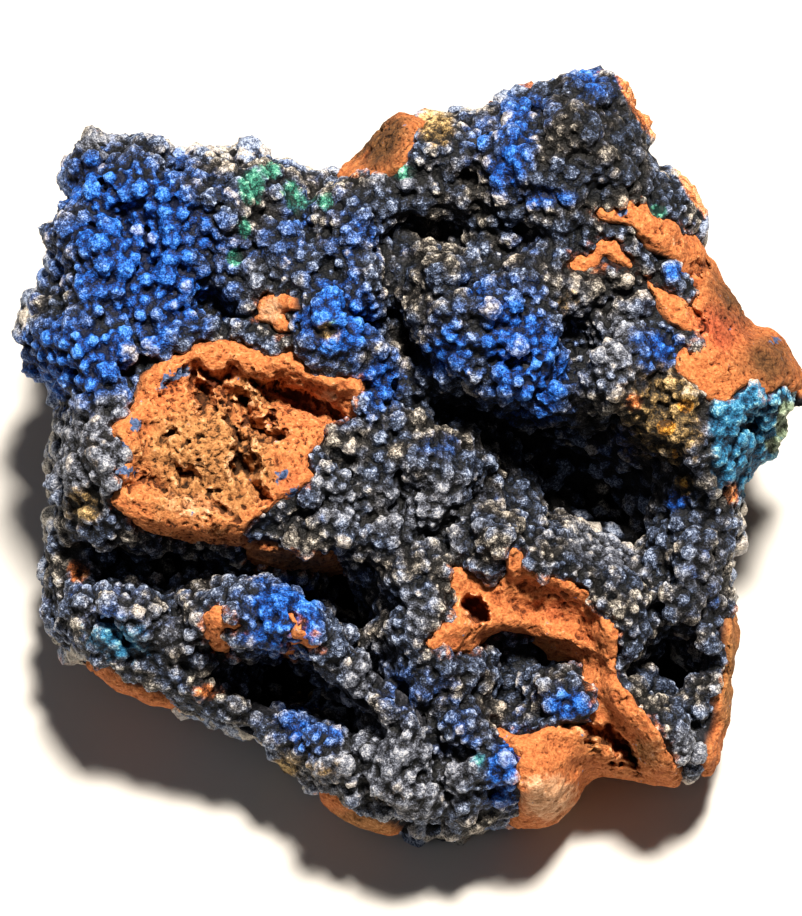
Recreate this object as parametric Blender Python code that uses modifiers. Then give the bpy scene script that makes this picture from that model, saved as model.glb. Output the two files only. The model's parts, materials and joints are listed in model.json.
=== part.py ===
"""Azurite specimen: a botryoidal azurite crust grown over a broken block of limonite gossan.

The block rests on a base sawn flat, and its crystal face leans back from the front edge.
Sizes are millimetres in face coordinates: u runs to the right, v up the face and w out of
it.  place() turns them into the part's own metres, with +Z up and the front towards -Y.
"""

import math

import bmesh
import bpy
import numpy as np
from mathutils import Vector, noise
from mathutils.bvhtree import BVHTree

MM = 0.001

# Driving sizes, in millimetres and degrees
FACE_LEAN = 60.0        # angle of the face's outward normal above the ground
FACE_RISE = 80.0        # height of the face's centre over the sawn base
SPREAD = 700.0          # the sides spread behind the face as if from a point this far out
BLOCK_DEPTH = 165.0     # depth of the rough block before the base is sawn
RIM_DROP = 25.0         # how far the face falls back at its outline
RIM_REACH = 15.0        # width of the rounded shoulder along the outline
CRUST = 3.2             # thickness of the azurite crust
SEAT = 0.35             # how far the crust's underside stands off the matrix
MAX_STAND_OFF = 3.0     # and off a sharp edge, in seats
CRUST_WRAP = 46.0       # how far back the crust wraps round the sides
BORDER = 1.6            # half width of the crust's broken border
BASE_SPARE = 2.0        # rock left under the base before it is sawn, and kept clear of crust
LUMP = 3.4              # height of a cluster of grapes
LUMP_CELL = 11.0        # spacing of the clusters

FOLD_ANGLE = 120.0      # a fold sharper than this is eased
FOLD_PASSES = 3
COARSE_VOXEL = 2.6
FINE_VOXEL = 1.7
MATRIX_TRIANGLES = 2200
MASS_TRIANGLES = 5200

# Outline of the face, clockwise from its left corner
OUTLINE = [
    (-88.6, 28.1), (-85.4, 37.9), (-82.6, 42.4), (-83.5, 47.8), (-82.6, 54.2), (-78.1, 61.2),
    (-76.8, 66.4), (-74.6, 73.4), (-70.8, 74.3), (-67.6, 76.6), (-63.8, 73.7), (-57.4, 73.7),
    (-50.7, 71.0), (-44.3, 70.5), (-36.7, 70.5), (-36.3, 73.0), (-34.4, 73.9), (-31.5, 71.2),
    (-26.4, 68.3), (-23.5, 67.9), (-18.8, 64.9), (-12.4, 67.6), (-9.8, 68.9), (-6.6, 74.0),
    (-2.1, 78.5), (0.0, 80.4), (4.8, 77.5), (9.6, 79.7), (18.5, 80.1), (22.7, 83.0),
    (26.2, 85.4), (36.4, 86.2), (39.6, 89.5), (47.9, 90.0), (50.8, 85.5), (54.6, 80.7),
    (58.4, 75.3), (59.1, 72.1), (62.3, 66.4), (67.1, 61.9), (69.3, 56.1), (69.6, 51.0),
    (72.2, 44.0), (77.3, 36.3), (80.5, 30.6), (85.6, 29.0), (88.8, 26.2), (92.0, 20.7),
    (93.0, 13.0), (88.8, 5.7), (84.3, 0.3), (79.5, -3.2), (78.6, -12.2), (78.9, -20.0),
    (75.4, -27.5), (77.6, -37.7), (77.3, -45.3), (75.7, -51.7), (76.4, -58.5), (74.4, -63.2),
    (74.4, -68.3), (70.3, -75.0), (61.3, -76.0), (53.6, -74.1), (43.1, -72.5), (42.1, -76.6),
    (37.0, -82.7), (33.2, -85.0), (21.1, -85.0), (14.7, -88.3), (8.0, -89.1), (0.6, -86.9),
    (-9.1, -85.5), (-16.8, -80.5), (-21.3, -77.3), (-27.7, -70.9), (-30.9, -66.1),
    (-37.9, -62.9), (-44.9, -62.2), (-51.3, -58.4), (-60.2, -55.9), (-67.3, -52.4),
    (-72.4, -47.6), (-79.4, -41.8), (-82.1, -35.1), (-82.6, -26.0), (-80.6, -11.0),
    (-82.1, -5.0), (-80.0, 10.2), (-79.7, 14.7), (-85.4, 20.4),
]

# Planes where the block broke away behind its face: a point on each and its outward normal
BREAKS = [
    ((0, 90, -42), (0.05, 0.87, -0.5)),
    ((-60, 86, -58), (-0.5, 0.72, -0.48)),
    ((62, 82, -62), (0.55, 0.68, -0.48)),
    ((-83, 10, -54), (-0.93, 0.1, -0.34)),
    ((-74, -32, -50), (-0.76, -0.5, -0.42)),
    ((80, 0, -58), (0.94, -0.05, -0.33)),
    ((74, -60, -52), (0.66, -0.6, -0.45)),
    ((0, -84, -46), (0.1, -0.86, -0.5)),
    ((-20, 60, -128), (-0.2, 0.5, -0.84)),
]

# Bare limonite on the face, where no crust grew or it broke away
BARE = {
    "terrace": [
        (-67.0, 6.3), (-62.2, 12.1), (-59.6, 14.0), (-58.3, 18.5), (-52.6, 23.3), (-44.9, 26.0),
        (-37.9, 26.6), (-30.5, 22.8), (-25.4, 23.9), (-20.6, 19.4), (-11.7, 18.1), (-8.8, 19.1),
        (-7.7, 17.2), (-11.4, 9.5), (-15.8, 7.5), (-21.9, 1.9), (-19.7, -3.3), (-20.6, -5.8),
        (-29.3, -9.6), (-34.7, -15.4), (-36.6, -20.8), (-50.0, -18.6), (-59.0, -17.3),
        (-67.6, -11.2), (-64.1, -6.5), (-66.6, -3.9), (-60.9, 1.2),
    ],
    "fork": [
        (5.1, -44.7), (9.9, -37.7), (12.5, -33.2), (11.2, -24.7), (19.8, -28.8), (24.3, -28.5),
        (24.6, -20.2), (27.4, -20.2), (28.8, -26.3), (38.3, -27.9), (41.5, -30.1), (46.0, -36.4),
        (50.8, -40.9), (49.8, -48.6), (51.1, -53.0), (58.1, -59.4), (63.3, -67.1), (63.6, -78.0),
        (43.5, -77.0), (40.0, -90.0), (21.0, -90.0), (28.1, -81.2), (26.2, -74.8), (26.8, -67.1),
        (21.1, -61.0), (28.0, -63.0), (35.8, -62.0), (44.7, -60.1), (42.2, -52.4), (41.5, -47.9),
        (34.5, -46.0), (29.4, -41.5), (23.0, -40.3), (17.3, -45.0), (8.9, -45.3),
    ],
    "slope": [
        (43.1, 57.1), (50.5, 57.1), (51.8, 59.3), (56.2, 59.0), (58.1, 55.5), (63.9, 54.2),
        (69.6, 49.1), (75.0, 41.0), (82.0, 34.0), (95.0, 28.0), (98.0, 18.0), (92.1, 15.9),
        (86.9, 16.5), (83.7, 13.0), (81.2, 19.1), (75.4, 12.0), (69.6, 15.6), (63.9, 20.7),
        (63.9, 23.6), (69.0, 28.1), (60.4, 33.8), (56.5, 41.7), (66.8, 35.7), (69.6, 38.9),
        (62.6, 47.2), (55.0, 50.4), (51.8, 54.2), (46.0, 54.2),
    ],
    "vein": [(42.0, 47.5), (45.0, 50.8), (50.0, 50.4), (54.6, 42.5), (50.0, 43.5), (46.5, 46.5)],
    "tablet": [(38.3, 47.5), (47.0, 46.6), (47.0, 43.0), (39.0, 43.0)],
    "crest": [
        (-14.6, 65.7), (-12.0, 72.0), (-2.0, 88.0), (6.0, 84.0), (4.5, 75.3), (-1.0, 67.0),
        (-9.1, 64.4),
    ],
    "chip": [(-34.0, 38.2), (-25.8, 38.5), (-26.4, 28.4), (-33.0, 30.0)],
    "knob_left": [(-47.5, -36.7), (-39.2, -34.5), (-36.0, -39.6), (-39.0, -47.9), (-47.5, -41.0)],
    "knob_right": [(-26.0, -36.4), (-22.0, -36.4), (-18.4, -43.5), (-27.0, -46.3)],
    "ledge": [(-36.0, -20.5), (-14.9, -22.5), (-11.7, -27.9), (-28.3, -25.6), (-36.0, -24.5)],
}

# Bare strips along the outline: points and half width
BARE_RIMS = [
    ([(51, 91), (56, 83), (60.5, 75)], 3.0),
    ([(62, 70.5), (68, 63), (70.5, 54)], 3.0),
    ([(79.5, -37), (79, -46), (77, -53), (77.5, -60), (75.5, -66), (73, -76)], 3.4),
    ([(-72, -51), (-65, -56), (-55, -59.5)], 3.4),
    ([(-18, -81), (-12, -86), (-4, -89)], 3.6),
]

# Swells and hollows of the face: u, v, half widths, turn in degrees, height, steepness
SWELLS = {
    "blue_field": (-61, 46, 27, 30, 0, 5, 2.0),
    "blue_shoulder": (-78, 26, 11, 11, 0, 4, 2.0),
    "left_bolster": (-73, 4, 9, 20, 0, 7, 3.0),
    "terrace": (-46, -4, 30, 15, -4, 9, 4.0),
    "terrace_lip": (-44, -15, 24, 5, -5, 4, 2.0),
    "terrace_tail": (-16, 15, 12, 4, -20, 4, 2.0),
    "dome": (-15, 33, 11, 11, 0, 12, 3.0),
    "top_middle": (-6, 52, 22, 14, 0, 3, 2.0),
    "heart": (5, -8, 25, 18, 20, 5, 3.0),
    "heart_left": (-12, -8, 12, 14, 0, 4, 2.0),
    "curtain": (23, 27, 17, 15, -15, 14, 3.0),
    "curtain_left": (8, 36, 9, 8, 0, 5, 2.5),
    "curtain_drop": (25, 15, 5, 5, 0, 5, 3.0),
    "curtain_tip": (35, 13, 5, 7, 20, 7, 3.0),
    "right_cluster": (47, 17, 7, 15, 8, 9, 3.0),
    "broken_section": (60, 12, 13, 24, 10, 5, 3.0),
    "peak": (41, 76, 15, 13, 0, 7, 2.4),
    "peak_left": (24, 74, 13, 11, 0, 4, 2.0),
    "crown": (40, 58, 22, 14, -15, 4, 2.0),
    "lower_left": (-63, -38, 17, 9, -20, 6, 3.0),
    "knob": (-33, -38, 14, 8.5, -8, 13, 3.0),
    "round_cluster": (3, -33, 9, 9, 0, 6, 2.6),
    "round_foot": (0, -44, 8, 6, 0, 5, 2.6),
    "bottom_lobe": (-1, -68, 27, 18, -8, 7, 3.0),
    "bottom_right": (33, -75, 10, 10, 0, 3, 2.0),
    "blue_nest": (36, -55, 8, 6, -10, 4, 3.0),
    "right_wall": (71, -25, 7, 30, 0, 2, 2.0),
    "main_cave": (43, -3, 19, 11.5, -12, -38, 3.8),
    "main_cave_left": (19, 10, 14, 5.5, -14, -28, 3.4),
    "main_cave_foot": (49, -18, 10, 8, -25, -22, 3.0),
    "right_gap": (40, 22, 3.8, 8, 10, -12, 2.6),
    "right_notch": (63, -14, 8, 6, 10, -8, 2.0),
    "lower_right_cave": (61.5, -47, 7.5, 8.5, -10, -28, 3.8),
    "lower_right_slot": (66, -58, 3, 9, 5, -8, 2.4),
    "fork_hollow": (35.5, -36.5, 12.5, 8, -22, -11, 3.2),
    "under_fork": (32, -45.5, 13, 4, -14, -17, 3.0),
    "nest_pocket": (25, -55, 5.5, 7, -15, -15, 3.2),
    "left_groove": (-57, -24.5, 18, 5.8, -2, -24, 4.0),
    "left_notch": (-80, -22, 6, 8, 0, -10, 2.0),
    "knob_cave": (-12.5, -33, 7.5, 8.5, 40, -26, 3.6),
    "lower_cave": (-23, -53, 15, 6, -24, -29, 3.6),
    "lower_cave_end": (-9, -61, 8, 4.5, -8, -18, 3.0),
    "lower_left_cave": (-43, -48, 5, 3.5, -35, -12, 2.6),
    "left_pit": (-52, -37, 4, 5, 0, -12, 2.6),
    "left_pit_low": (-57, -47, 5.5, 3.2, -25, -10, 2.6),
    "middle_pit": (-5, -50, 3.5, 4.5, -40, -12, 2.6),
    "top_pit": (16.5, 65, 5, 3.8, -10, -11, 2.8),
    "peak_pit": (49, 76, 3.5, 4.5, 10, -9, 2.6),
    "crown_pit_left": (5, 52, 5.5, 3.5, 0, -10, 2.4),
    "crown_pit_right": (15, 54, 5.5, 4, 20, -9, 2.4),
    "dome_pit": (-1, 30, 3, 4, 0, -9, 2.4),
    "field_pit": (-42.5, 39, 2.6, 5.5, 0, -10, 2.6),
    "curtain_pit": (7, 22, 4, 3, 30, -10, 2.2),
    "heart_pit": (20, -6, 3.5, 4, 0, -7, 2.4),
}

# Ridges and slots along a line: points, half width, height, steepness
RIDGES = {
    "dome_valley": ([(4, 57), (0, 46), (-2, 34), (4, 24)], 4.6, -9, 2.6),
    "groove_right": ([(-42, -25), (-30, -27), (-22, -28), (-12, -30)], 3.0, -16, 3.0),
    "cave_sill": ([(24, -20), (34, -26), (46, -30), (50, -38)], 5.0, 8, 2.6),
    "knob_ridge": ([(-20, -37), (-13, -46), (-5, -56), (-1, -62)], 4.4, 9, 2.6),
    "fork_ridge": ([(9, -42), (20, -37), (32, -43), (45, -47), (50, -55), (60, -70)], 4.4, 5, 2.4),
    "fork_slot": ([(43, -54), (48, -60), (54, -68)], 2.4, -9, 2.4),
    "terrace_cleft": ([(-27, 16), (-20, 14), (-13, 10)], 2.0, -6, 2.2),
}


def line_distance(points, line, closed):
    """Distance from each (u, v) point to a line of corners, closed into a loop or open."""
    corners = np.asarray(line, float)
    ends = np.roll(corners, -1, axis=0)
    count = len(corners) if closed else len(corners) - 1
    best = np.full(len(points), np.inf)
    for start, end in zip(corners[:count], ends[:count]):
        along = end - start
        part = np.clip((points - start) @ along / (along @ along), 0.0, 1.0)
        gap = points - start - part[:, None] * along
        best = np.minimum(best, np.hypot(gap[:, 0], gap[:, 1]))
    return best


def inside_distance(points, loop):
    """Distance to a closed loop of corners, positive inside it and negative outside."""
    corners = np.asarray(loop, float)
    crossed = np.zeros(len(points), bool)
    for (u0, v0), (u1, v1) in zip(corners, np.roll(corners, -1, axis=0)):
        if v0 == v1:
            continue
        spans = (v0 > points[:, 1]) != (v1 > points[:, 1])
        crossed ^= spans & (points[:, 0] < (u1 - u0) * (points[:, 1] - v0) / (v1 - v0) + u0)
    distance = line_distance(points, loop, True)
    return np.where(crossed, distance, -distance)


def face_height(points):
    """Height w of the face over its own plane: rounded shoulder, swells, hollows and ridges."""
    edge = np.maximum(inside_distance(points, OUTLINE), 0.0)
    fall = 1.0 - np.minimum(edge / RIM_REACH, 1.0)
    height = np.zeros(len(points))
    for u, v, half_u, half_v, turn, rise, steep in SWELLS.values():
        cos_t = math.cos(math.radians(turn))
        sin_t = math.sin(math.radians(turn))
        du = points[:, 0] - u
        dv = points[:, 1] - v
        reach = np.hypot((du * cos_t + dv * sin_t) / half_u, (dv * cos_t - du * sin_t) / half_v)
        height += rise * np.exp(-0.7 * reach ** steep)
    for line, half_width, rise, steep in RIDGES.values():
        reach = line_distance(points, line, False) / half_width
        height += rise * np.exp(-0.7 * reach ** steep)
    shoulder = RIM_DROP * (1.0 - np.sqrt(1.0 - fall ** 2))
    return height * np.clip(edge / 6.0, 0.0, 1.0) - shoulder


def bare_distance(points):
    """Distance into the bare limonite of the face, negative under the crust."""
    best = np.full(len(points), -np.inf)
    for loop in BARE.values():
        best = np.maximum(best, inside_distance(points, loop))
    for line, half_width in BARE_RIMS:
        best = np.maximum(best, half_width - line_distance(points, line, False))
    return best


def smooth_step(value):
    """Ease 0..1 in and out."""
    value = np.clip(value, 0.0, 1.0)
    return value * value * (3.0 - 2.0 * value)


def crust_cover(points):
    """How far the crust covers each (u, v, w) point: 1 under the crust and 0 on bare rock."""
    ragged = np.array([noise.noise(Vector(point) / 9.0) for point in points])
    bare = bare_distance(points[:, :2]) + 1.6 * ragged
    behind = -CRUST_WRAP - points[:, 2] + 9.0 * ragged
    return smooth_step(0.5 - 0.5 * np.maximum(bare, behind) / BORDER)


def roughness(points):
    """Broken surface of the limonite: coarse lumps and steps on the sides, finer on the face."""
    rise = np.zeros(len(points))
    for index, point in enumerate(points):
        spot = Vector(point)
        coarse = noise.noise(spot / 24.0) + 0.5 * noise.noise(spot / 11.0)
        step = abs(noise.noise(spot / 20.0 + Vector((7.0, 3.0, 1.0))))
        fine = noise.noise(spot / 6.0)
        side = min(max((-32.0 - point[2]) / 12.0, 0.0), 1.0)
        rise[index] = side * (3.0 * coarse - 3.0 * step) + 0.9 * fine
    return rise


def cluster_lumps(points):
    """Rounded clusters of the crust, a few millimetres high, grown side by side."""
    rise = np.zeros(len(points))
    for index, point in enumerate(points):
        nearest = noise.voronoi(Vector(point) / LUMP_CELL)[0][0]
        rise[index] = LUMP * (math.sqrt(max(0.0, 1.0 - (nearest / 0.72) ** 2)) - 0.45)
    return rise


def mesh_object(name, bm):
    """Link a bmesh's faces as a new object in the scene."""
    mesh = bpy.data.meshes.new(name)
    bm.to_mesh(mesh)
    bm.free()
    part = bpy.data.objects.new(name, mesh)
    bpy.context.scene.collection.objects.link(part)
    return part


def finished(part, modifier_type, **settings):
    """Apply one modifier for good and leave the object with the new mesh."""
    modifier = part.modifiers.new(modifier_type.title(), modifier_type)
    for key, value in settings.items():
        setattr(modifier, key, value)
    graph = bpy.context.evaluated_depsgraph_get()
    graph.update()
    mesh = bpy.data.meshes.new_from_object(part.evaluated_get(graph))
    part.modifiers.clear()
    old = part.data
    part.data = mesh
    bpy.data.meshes.remove(old)
    return part


def coordinates(part):
    """All the mesh's corners as an array."""
    flat = np.empty(len(part.data.vertices) * 3)
    part.data.vertices.foreach_get("co", flat)
    return flat.reshape(-1, 3)


def normals(part):
    """All the mesh's corner normals as an array."""
    flat = np.empty(len(part.data.vertices) * 3)
    part.data.vertices.foreach_get("normal", flat)
    return flat.reshape(-1, 3)


def move_corners(part, points):
    """Put the mesh's corners at new places."""
    part.data.vertices.foreach_set("co", np.ascontiguousarray(points).ravel())
    part.data.update()


def close_cut(bm, point, normal):
    """Cut away what lies on the normal's side of a plane and close the cut."""
    geometry = bm.verts[:] + bm.edges[:] + bm.faces[:]
    cut = bmesh.ops.bisect_plane(bm, geom=geometry, dist=1e-5, plane_co=point, plane_no=normal,
                                 clear_outer=True)
    edges = [item for item in cut["geom_cut"] if isinstance(item, bmesh.types.BMEdge)]
    bmesh.ops.contextual_create(bm, geom=edges)


def rough_block():
    """The block in face coordinates: its outline carried back, broken planes and relief."""
    bm = bmesh.new()
    front = bm.faces.new([bm.verts.new((u, v, 0.0)) for u, v in OUTLINE])
    back = bmesh.ops.extrude_face_region(bm, geom=[front])["geom"]
    shift = [item for item in back if isinstance(item, bmesh.types.BMVert)]
    bmesh.ops.translate(bm, verts=shift, vec=(0.0, 0.0, -BLOCK_DEPTH))
    bmesh.ops.recalc_face_normals(bm, faces=bm.faces[:])
    for point, normal in BREAKS:
        close_cut(bm, point, normal)
    block = mesh_object("block", bm)
    finished(block, "REMESH", mode="VOXEL", voxel_size=COARSE_VOXEL)
    points = coordinates(block)
    carried = np.clip(1.0 + points[:, 2] / BLOCK_DEPTH, 0.0, 1.0)
    points[:, 2] = carried * (BLOCK_DEPTH + face_height(points[:, :2])) - BLOCK_DEPTH
    move_corners(block, points)
    return finished(block, "REMESH", mode="VOXEL", voxel_size=FINE_VOXEL)


def place(points):
    """Face coordinates to the part's own frame, in metres."""
    lean = math.radians(FACE_LEAN)
    wide = 1.0 - points[:, 2] / SPREAD
    u = points[:, 0] * wide
    v = points[:, 1] * wide
    w = points[:, 2]
    y = v * math.sin(lean) - w * math.cos(lean)
    z = v * math.cos(lean) + w * math.sin(lean) + FACE_RISE
    return np.column_stack([u, y, z]) * MM


def cut_off(part, point, normal):
    """Cut one side of a part off flat and leave it in triangles."""
    bm = bmesh.new()
    bm.from_mesh(part.data)
    close_cut(bm, point, normal)
    bmesh.ops.triangulate(bm, faces=bm.faces[:])
    bm.to_mesh(part.data)
    bm.free()


def crossing_corners(bm):
    """The corners of faces that cut through a face they don't share a corner with."""
    bm.faces.ensure_lookup_table()
    tree = BVHTree.FromBMesh(bm)
    corners = set()
    for one, other in tree.overlap(tree):
        first = set(bm.faces[one].verts)
        second = set(bm.faces[other].verts)
        if not first & second:
            corners |= first | second
    return corners


def ease_folds(part):
    """Ease knife-sharp folds and crossing faces, so that each wall has two clear sides."""
    bm = bmesh.new()
    bm.from_mesh(part.data)
    for _ in range(FOLD_PASSES):
        sharp = [edge for edge in bm.edges if edge.calc_face_angle() > math.radians(FOLD_ANGLE)]
        corners = {corner for edge in sharp for corner in edge.verts} | crossing_corners(bm)
        eased = {}
        for corner in corners:
            around = [edge.other_vert(corner).co for edge in corner.link_edges]
            eased[corner] = sum(around, Vector()) / len(around)
        for corner, spot in eased.items():
            corner.co = spot
    bm.to_mesh(part.data)
    bm.free()


def grown(block, name, rise, smoothing, depth, floor, triangles):
    """A copy of the block, its surface raised, cut off behind and below, and thinned out."""
    bm = bmesh.new()
    bm.from_mesh(block.data)
    part = mesh_object(name, bm)
    move_corners(part, coordinates(part) + normals(part) * rise[:, None])
    finished(part, "REMESH", mode="VOXEL", voxel_size=FINE_VOXEL)
    finished(part, "SMOOTH", factor=0.5, iterations=smoothing)
    cut_off(part, (0.0, 0.0, -depth), (0.0, 0.0, -1.0))
    move_corners(part, place(coordinates(part)))
    cut_off(part, (0.0, 0.0, floor * MM), (0.0, 0.0, -1.0))
    keep_largest(part)
    finished(part, "DECIMATE", ratio=triangles / len(part.data.polygons))
    ease_folds(part)
    return part


def keep_largest(part):
    """Remove every loose piece of a part but its largest."""
    bm = bmesh.new()
    bm.from_mesh(part.data)
    bmesh.ops.triangulate(bm, faces=bm.faces[:])
    left = set(bm.faces)
    pieces = []
    while left:
        front = [left.pop()]
        piece = []
        while front:
            face = front.pop()
            piece.append(face)
            for edge in face.edges:
                for other in edge.link_faces:
                    if other in left:
                        left.remove(other)
                        front.append(other)
        pieces.append(piece)
    pieces.sort(key=len)
    loose = [face for piece in pieces[:-1] for face in piece]
    bmesh.ops.delete(bm, geom=loose, context="FACES")
    bm.to_mesh(part.data)
    bm.free()


def clear_of_faces(corner):
    """The shortest way out of a corner that clears every face round it by one."""
    way = corner.normal.copy()
    for _ in range(20):
        for face in corner.link_faces:
            short = 1.0 - way.dot(face.normal)
            if short > 0.0:
                way += short * face.normal
    return way * min(1.0, MAX_STAND_OFF / way.length)


def hollowed(mass, matrix):
    """The crust alone: the azurite mass less the matrix, which then draws back by the seat."""
    finished(mass, "BOOLEAN", operation="DIFFERENCE", solver="EXACT", object=matrix)
    keep_largest(mass)
    bm = bmesh.new()
    bm.from_mesh(matrix.data)
    outward = {corner: clear_of_faces(corner) for corner in bm.verts if corner.co.z > SEAT * MM}
    for corner, way in outward.items():
        corner.co -= way * SEAT * MM
    bm.to_mesh(matrix.data)
    bm.free()


def settle(parts):
    """Move the parts together so that their common box stands centred on the origin."""
    points = np.vstack([coordinates(part) for part in parts])
    centre = (points.min(axis=0) + points.max(axis=0)) / 2.0
    centre[2] = points[:, 2].min()
    for part in parts:
        move_corners(part, coordinates(part) - centre)
    print("settled by", np.round(-centre / MM, 2))


def main():
    """Build the limonite matrix and the azurite crust."""
    for old in list(bpy.data.objects):
        bpy.data.objects.remove(old, do_unlink=True)
    block = rough_block()
    points = coordinates(block)
    cover = crust_cover(points)
    rock = roughness(points) * (1.0 - 0.6 * cover) - CRUST * cover
    lumps = rock * (1.0 - cover) + cluster_lumps(points) * cover - CRUST * (1.0 - cover)
    matrix = grown(block, "limonite_matrix", rock, 3, BLOCK_DEPTH, -BASE_SPARE,
                   MATRIX_TRIANGLES)
    cut_off(matrix, (0.0, 0.0, 0.0), (0.0, 0.0, -1.0))
    crust = grown(block, "azurite_crust", lumps, 1, CRUST_WRAP + 16.0, BASE_SPARE,
                  MASS_TRIANGLES)
    bpy.data.objects.remove(block, do_unlink=True)
    hollowed(crust, matrix)
    settle([matrix, crust])


if __name__ == "__main__":
    main()
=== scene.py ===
"""Azurite specimen: the looks of a leaning limonite block and its botryoidal azurite crust.

The block is modelled in millimetres in face coordinates: u runs to the right, v up the
crystal face and w out of it.  Placement turns them into the frame's metres.
"""

import json
import logging
import math
from dataclasses import dataclass, field
from enum import Enum

import bmesh
import bpy
import numpy as np
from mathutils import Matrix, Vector, noise

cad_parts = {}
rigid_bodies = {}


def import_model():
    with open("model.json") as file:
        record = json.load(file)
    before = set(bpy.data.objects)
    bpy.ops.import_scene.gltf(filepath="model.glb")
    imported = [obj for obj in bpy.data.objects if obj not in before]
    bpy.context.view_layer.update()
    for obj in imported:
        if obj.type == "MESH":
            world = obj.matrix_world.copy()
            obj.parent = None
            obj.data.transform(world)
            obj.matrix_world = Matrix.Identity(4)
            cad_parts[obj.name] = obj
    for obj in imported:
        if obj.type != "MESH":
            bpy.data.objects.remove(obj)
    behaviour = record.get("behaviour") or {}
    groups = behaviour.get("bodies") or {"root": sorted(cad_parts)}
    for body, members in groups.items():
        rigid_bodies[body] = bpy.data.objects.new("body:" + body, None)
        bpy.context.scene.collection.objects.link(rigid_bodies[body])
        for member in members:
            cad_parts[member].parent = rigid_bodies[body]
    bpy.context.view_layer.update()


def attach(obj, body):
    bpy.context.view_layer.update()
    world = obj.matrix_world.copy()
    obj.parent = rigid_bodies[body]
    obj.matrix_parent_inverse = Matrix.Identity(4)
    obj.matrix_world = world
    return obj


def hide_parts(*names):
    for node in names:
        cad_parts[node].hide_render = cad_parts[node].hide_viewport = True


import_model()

log = logging.getLogger("azurite")

MM = 0.001
BODY = "root"
MATRIX_NODE = "limonite_matrix"
CRUST_NODE = "azurite_crust"

# Places of a ramp's four colours, from the darkest to the lightest
STOP_PLACES = (0.0, 0.37, 0.72, 1.0)
# How steeply a swell falls away, and how strong a stain is at its centre and how it fades
BELL = 0.7
STAIN_CENTRE = 1.35
STAIN_FADE = 0.85
# How near a cut two corners become one, and how far kept detail may be thinned
CUT_GAP = 1e-5
KEPT_WEIGHT = 0.25

FLOAT = {"data_type": "FLOAT"}
VECTOR = {"data_type": "FLOAT_VECTOR"}
STORED = {"data_type": "FLOAT", "domain": "POINT"}
COLOUR = {"data_type": "RGBA"}
EASED = {"interpolation_type": "SMOOTHSTEP"}
DOWN = (0.0, 0.0, -1.0)

Corner = tuple[float, float]
Points = np.ndarray


class Pigment(Enum):
    """What tints a spot of the crust or of the bare rock; each is a mesh attribute, and two also
    carry painted shade.
    """

    AZURE = "azure"
    GREY = "grey"
    OCHRE = "ochre"
    GREEN = "green"
    TEAL = "teal"
    RUST = "rust"
    RED = "red"
    PALE = "pale"
    # Brown limonite, with painted shade on the ledge under the terrace's lip
    UMBER = "umber"
    # Dark crust, together with painted shade in caves, valleys and clefts
    SOOT = "soot"
    SAGE = "sage"


@dataclass(frozen=True)
class Blob:
    """An elliptical spot of the face: its centre, half widths, turn and strength."""

    u: float
    v: float
    half_u: float
    half_v: float
    turn: float = 0.0
    strength: float = 1.0

    def reach(self, points: Points) -> Points:
        """Distance from the centre in half widths.

        Args:
            points: (u, v) points in millimetres.

        Returns:
            One value a point: 0 at the centre and 1 on the ellipse.
        """
        cos_t = math.cos(math.radians(self.turn))
        sin_t = math.sin(math.radians(self.turn))
        du = points[:, 0] - self.u
        dv = points[:, 1] - self.v
        across = (du * cos_t + dv * sin_t) / self.half_u
        along = (dv * cos_t - du * sin_t) / self.half_v
        return np.hypot(across, along)


@dataclass(frozen=True)
class Swell(Blob):
    """A swell (or, with a negative strength, a hollow) of the face, in millimetres."""

    steep: float = 2.0


def line_distance(points: Points, line: list[Corner], closed: bool) -> Points:
    """Distance from each point to a line of corners.

    Args:
        points: (u, v) points.
        line: The line's corners.
        closed: Whether the last corner joins the first.

    Returns:
        One distance a point.
    """
    corners = np.asarray(line, float)
    ends = np.roll(corners, -1, axis=0)
    count = len(corners) if closed else len(corners) - 1
    best = np.full(len(points), np.inf)
    for start, end in zip(corners[:count], ends[:count]):
        along = end - start
        part = np.clip((points - start) @ along / (along @ along), 0.0, 1.0)
        gap_u = points[:, 0] - start[0] - part * along[0]
        gap_v = points[:, 1] - start[1] - part * along[1]
        np.minimum(best, gap_u * gap_u + gap_v * gap_v, out=best)
    return np.sqrt(best)


def inside_distance(points: Points, loop: list[Corner]) -> Points:
    """Distance to a closed loop, positive inside it.

    Args:
        points: (u, v) points.
        loop: The loop's corners.

    Returns:
        One signed distance a point.
    """
    corners = np.asarray(loop, float)
    crossed = np.zeros(len(points), bool)
    for (u0, v0), (u1, v1) in zip(corners, np.roll(corners, -1, axis=0)):
        if v0 == v1:
            continue
        spans = (v0 > points[:, 1]) != (v1 > points[:, 1])
        crossed ^= spans & (points[:, 0] < (u1 - u0) * (points[:, 1] - v0) / (v1 - v0) + u0)
    distance = line_distance(points, loop, True)
    return np.where(crossed, distance, -distance)


def smooth_step(value: Points) -> Points:
    """Ease 0..1 in and out."""
    value = np.clip(value, 0.0, 1.0)
    return value * value * (3.0 - 2.0 * value)


def behind(points: Points, start: float, reach: float) -> Points:
    """How far behind a place on w each point lies.

    Args:
        points: (u, v, w) points.
        start: The w where it is 0.
        reach: How much further back it is 1.

    Returns:
        One value a point, 0..1.
    """
    return np.clip((start - points[:, 2]) / reach, 0.0, 1.0)


# ---------------------------------------------------------------- shape of the face

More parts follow.
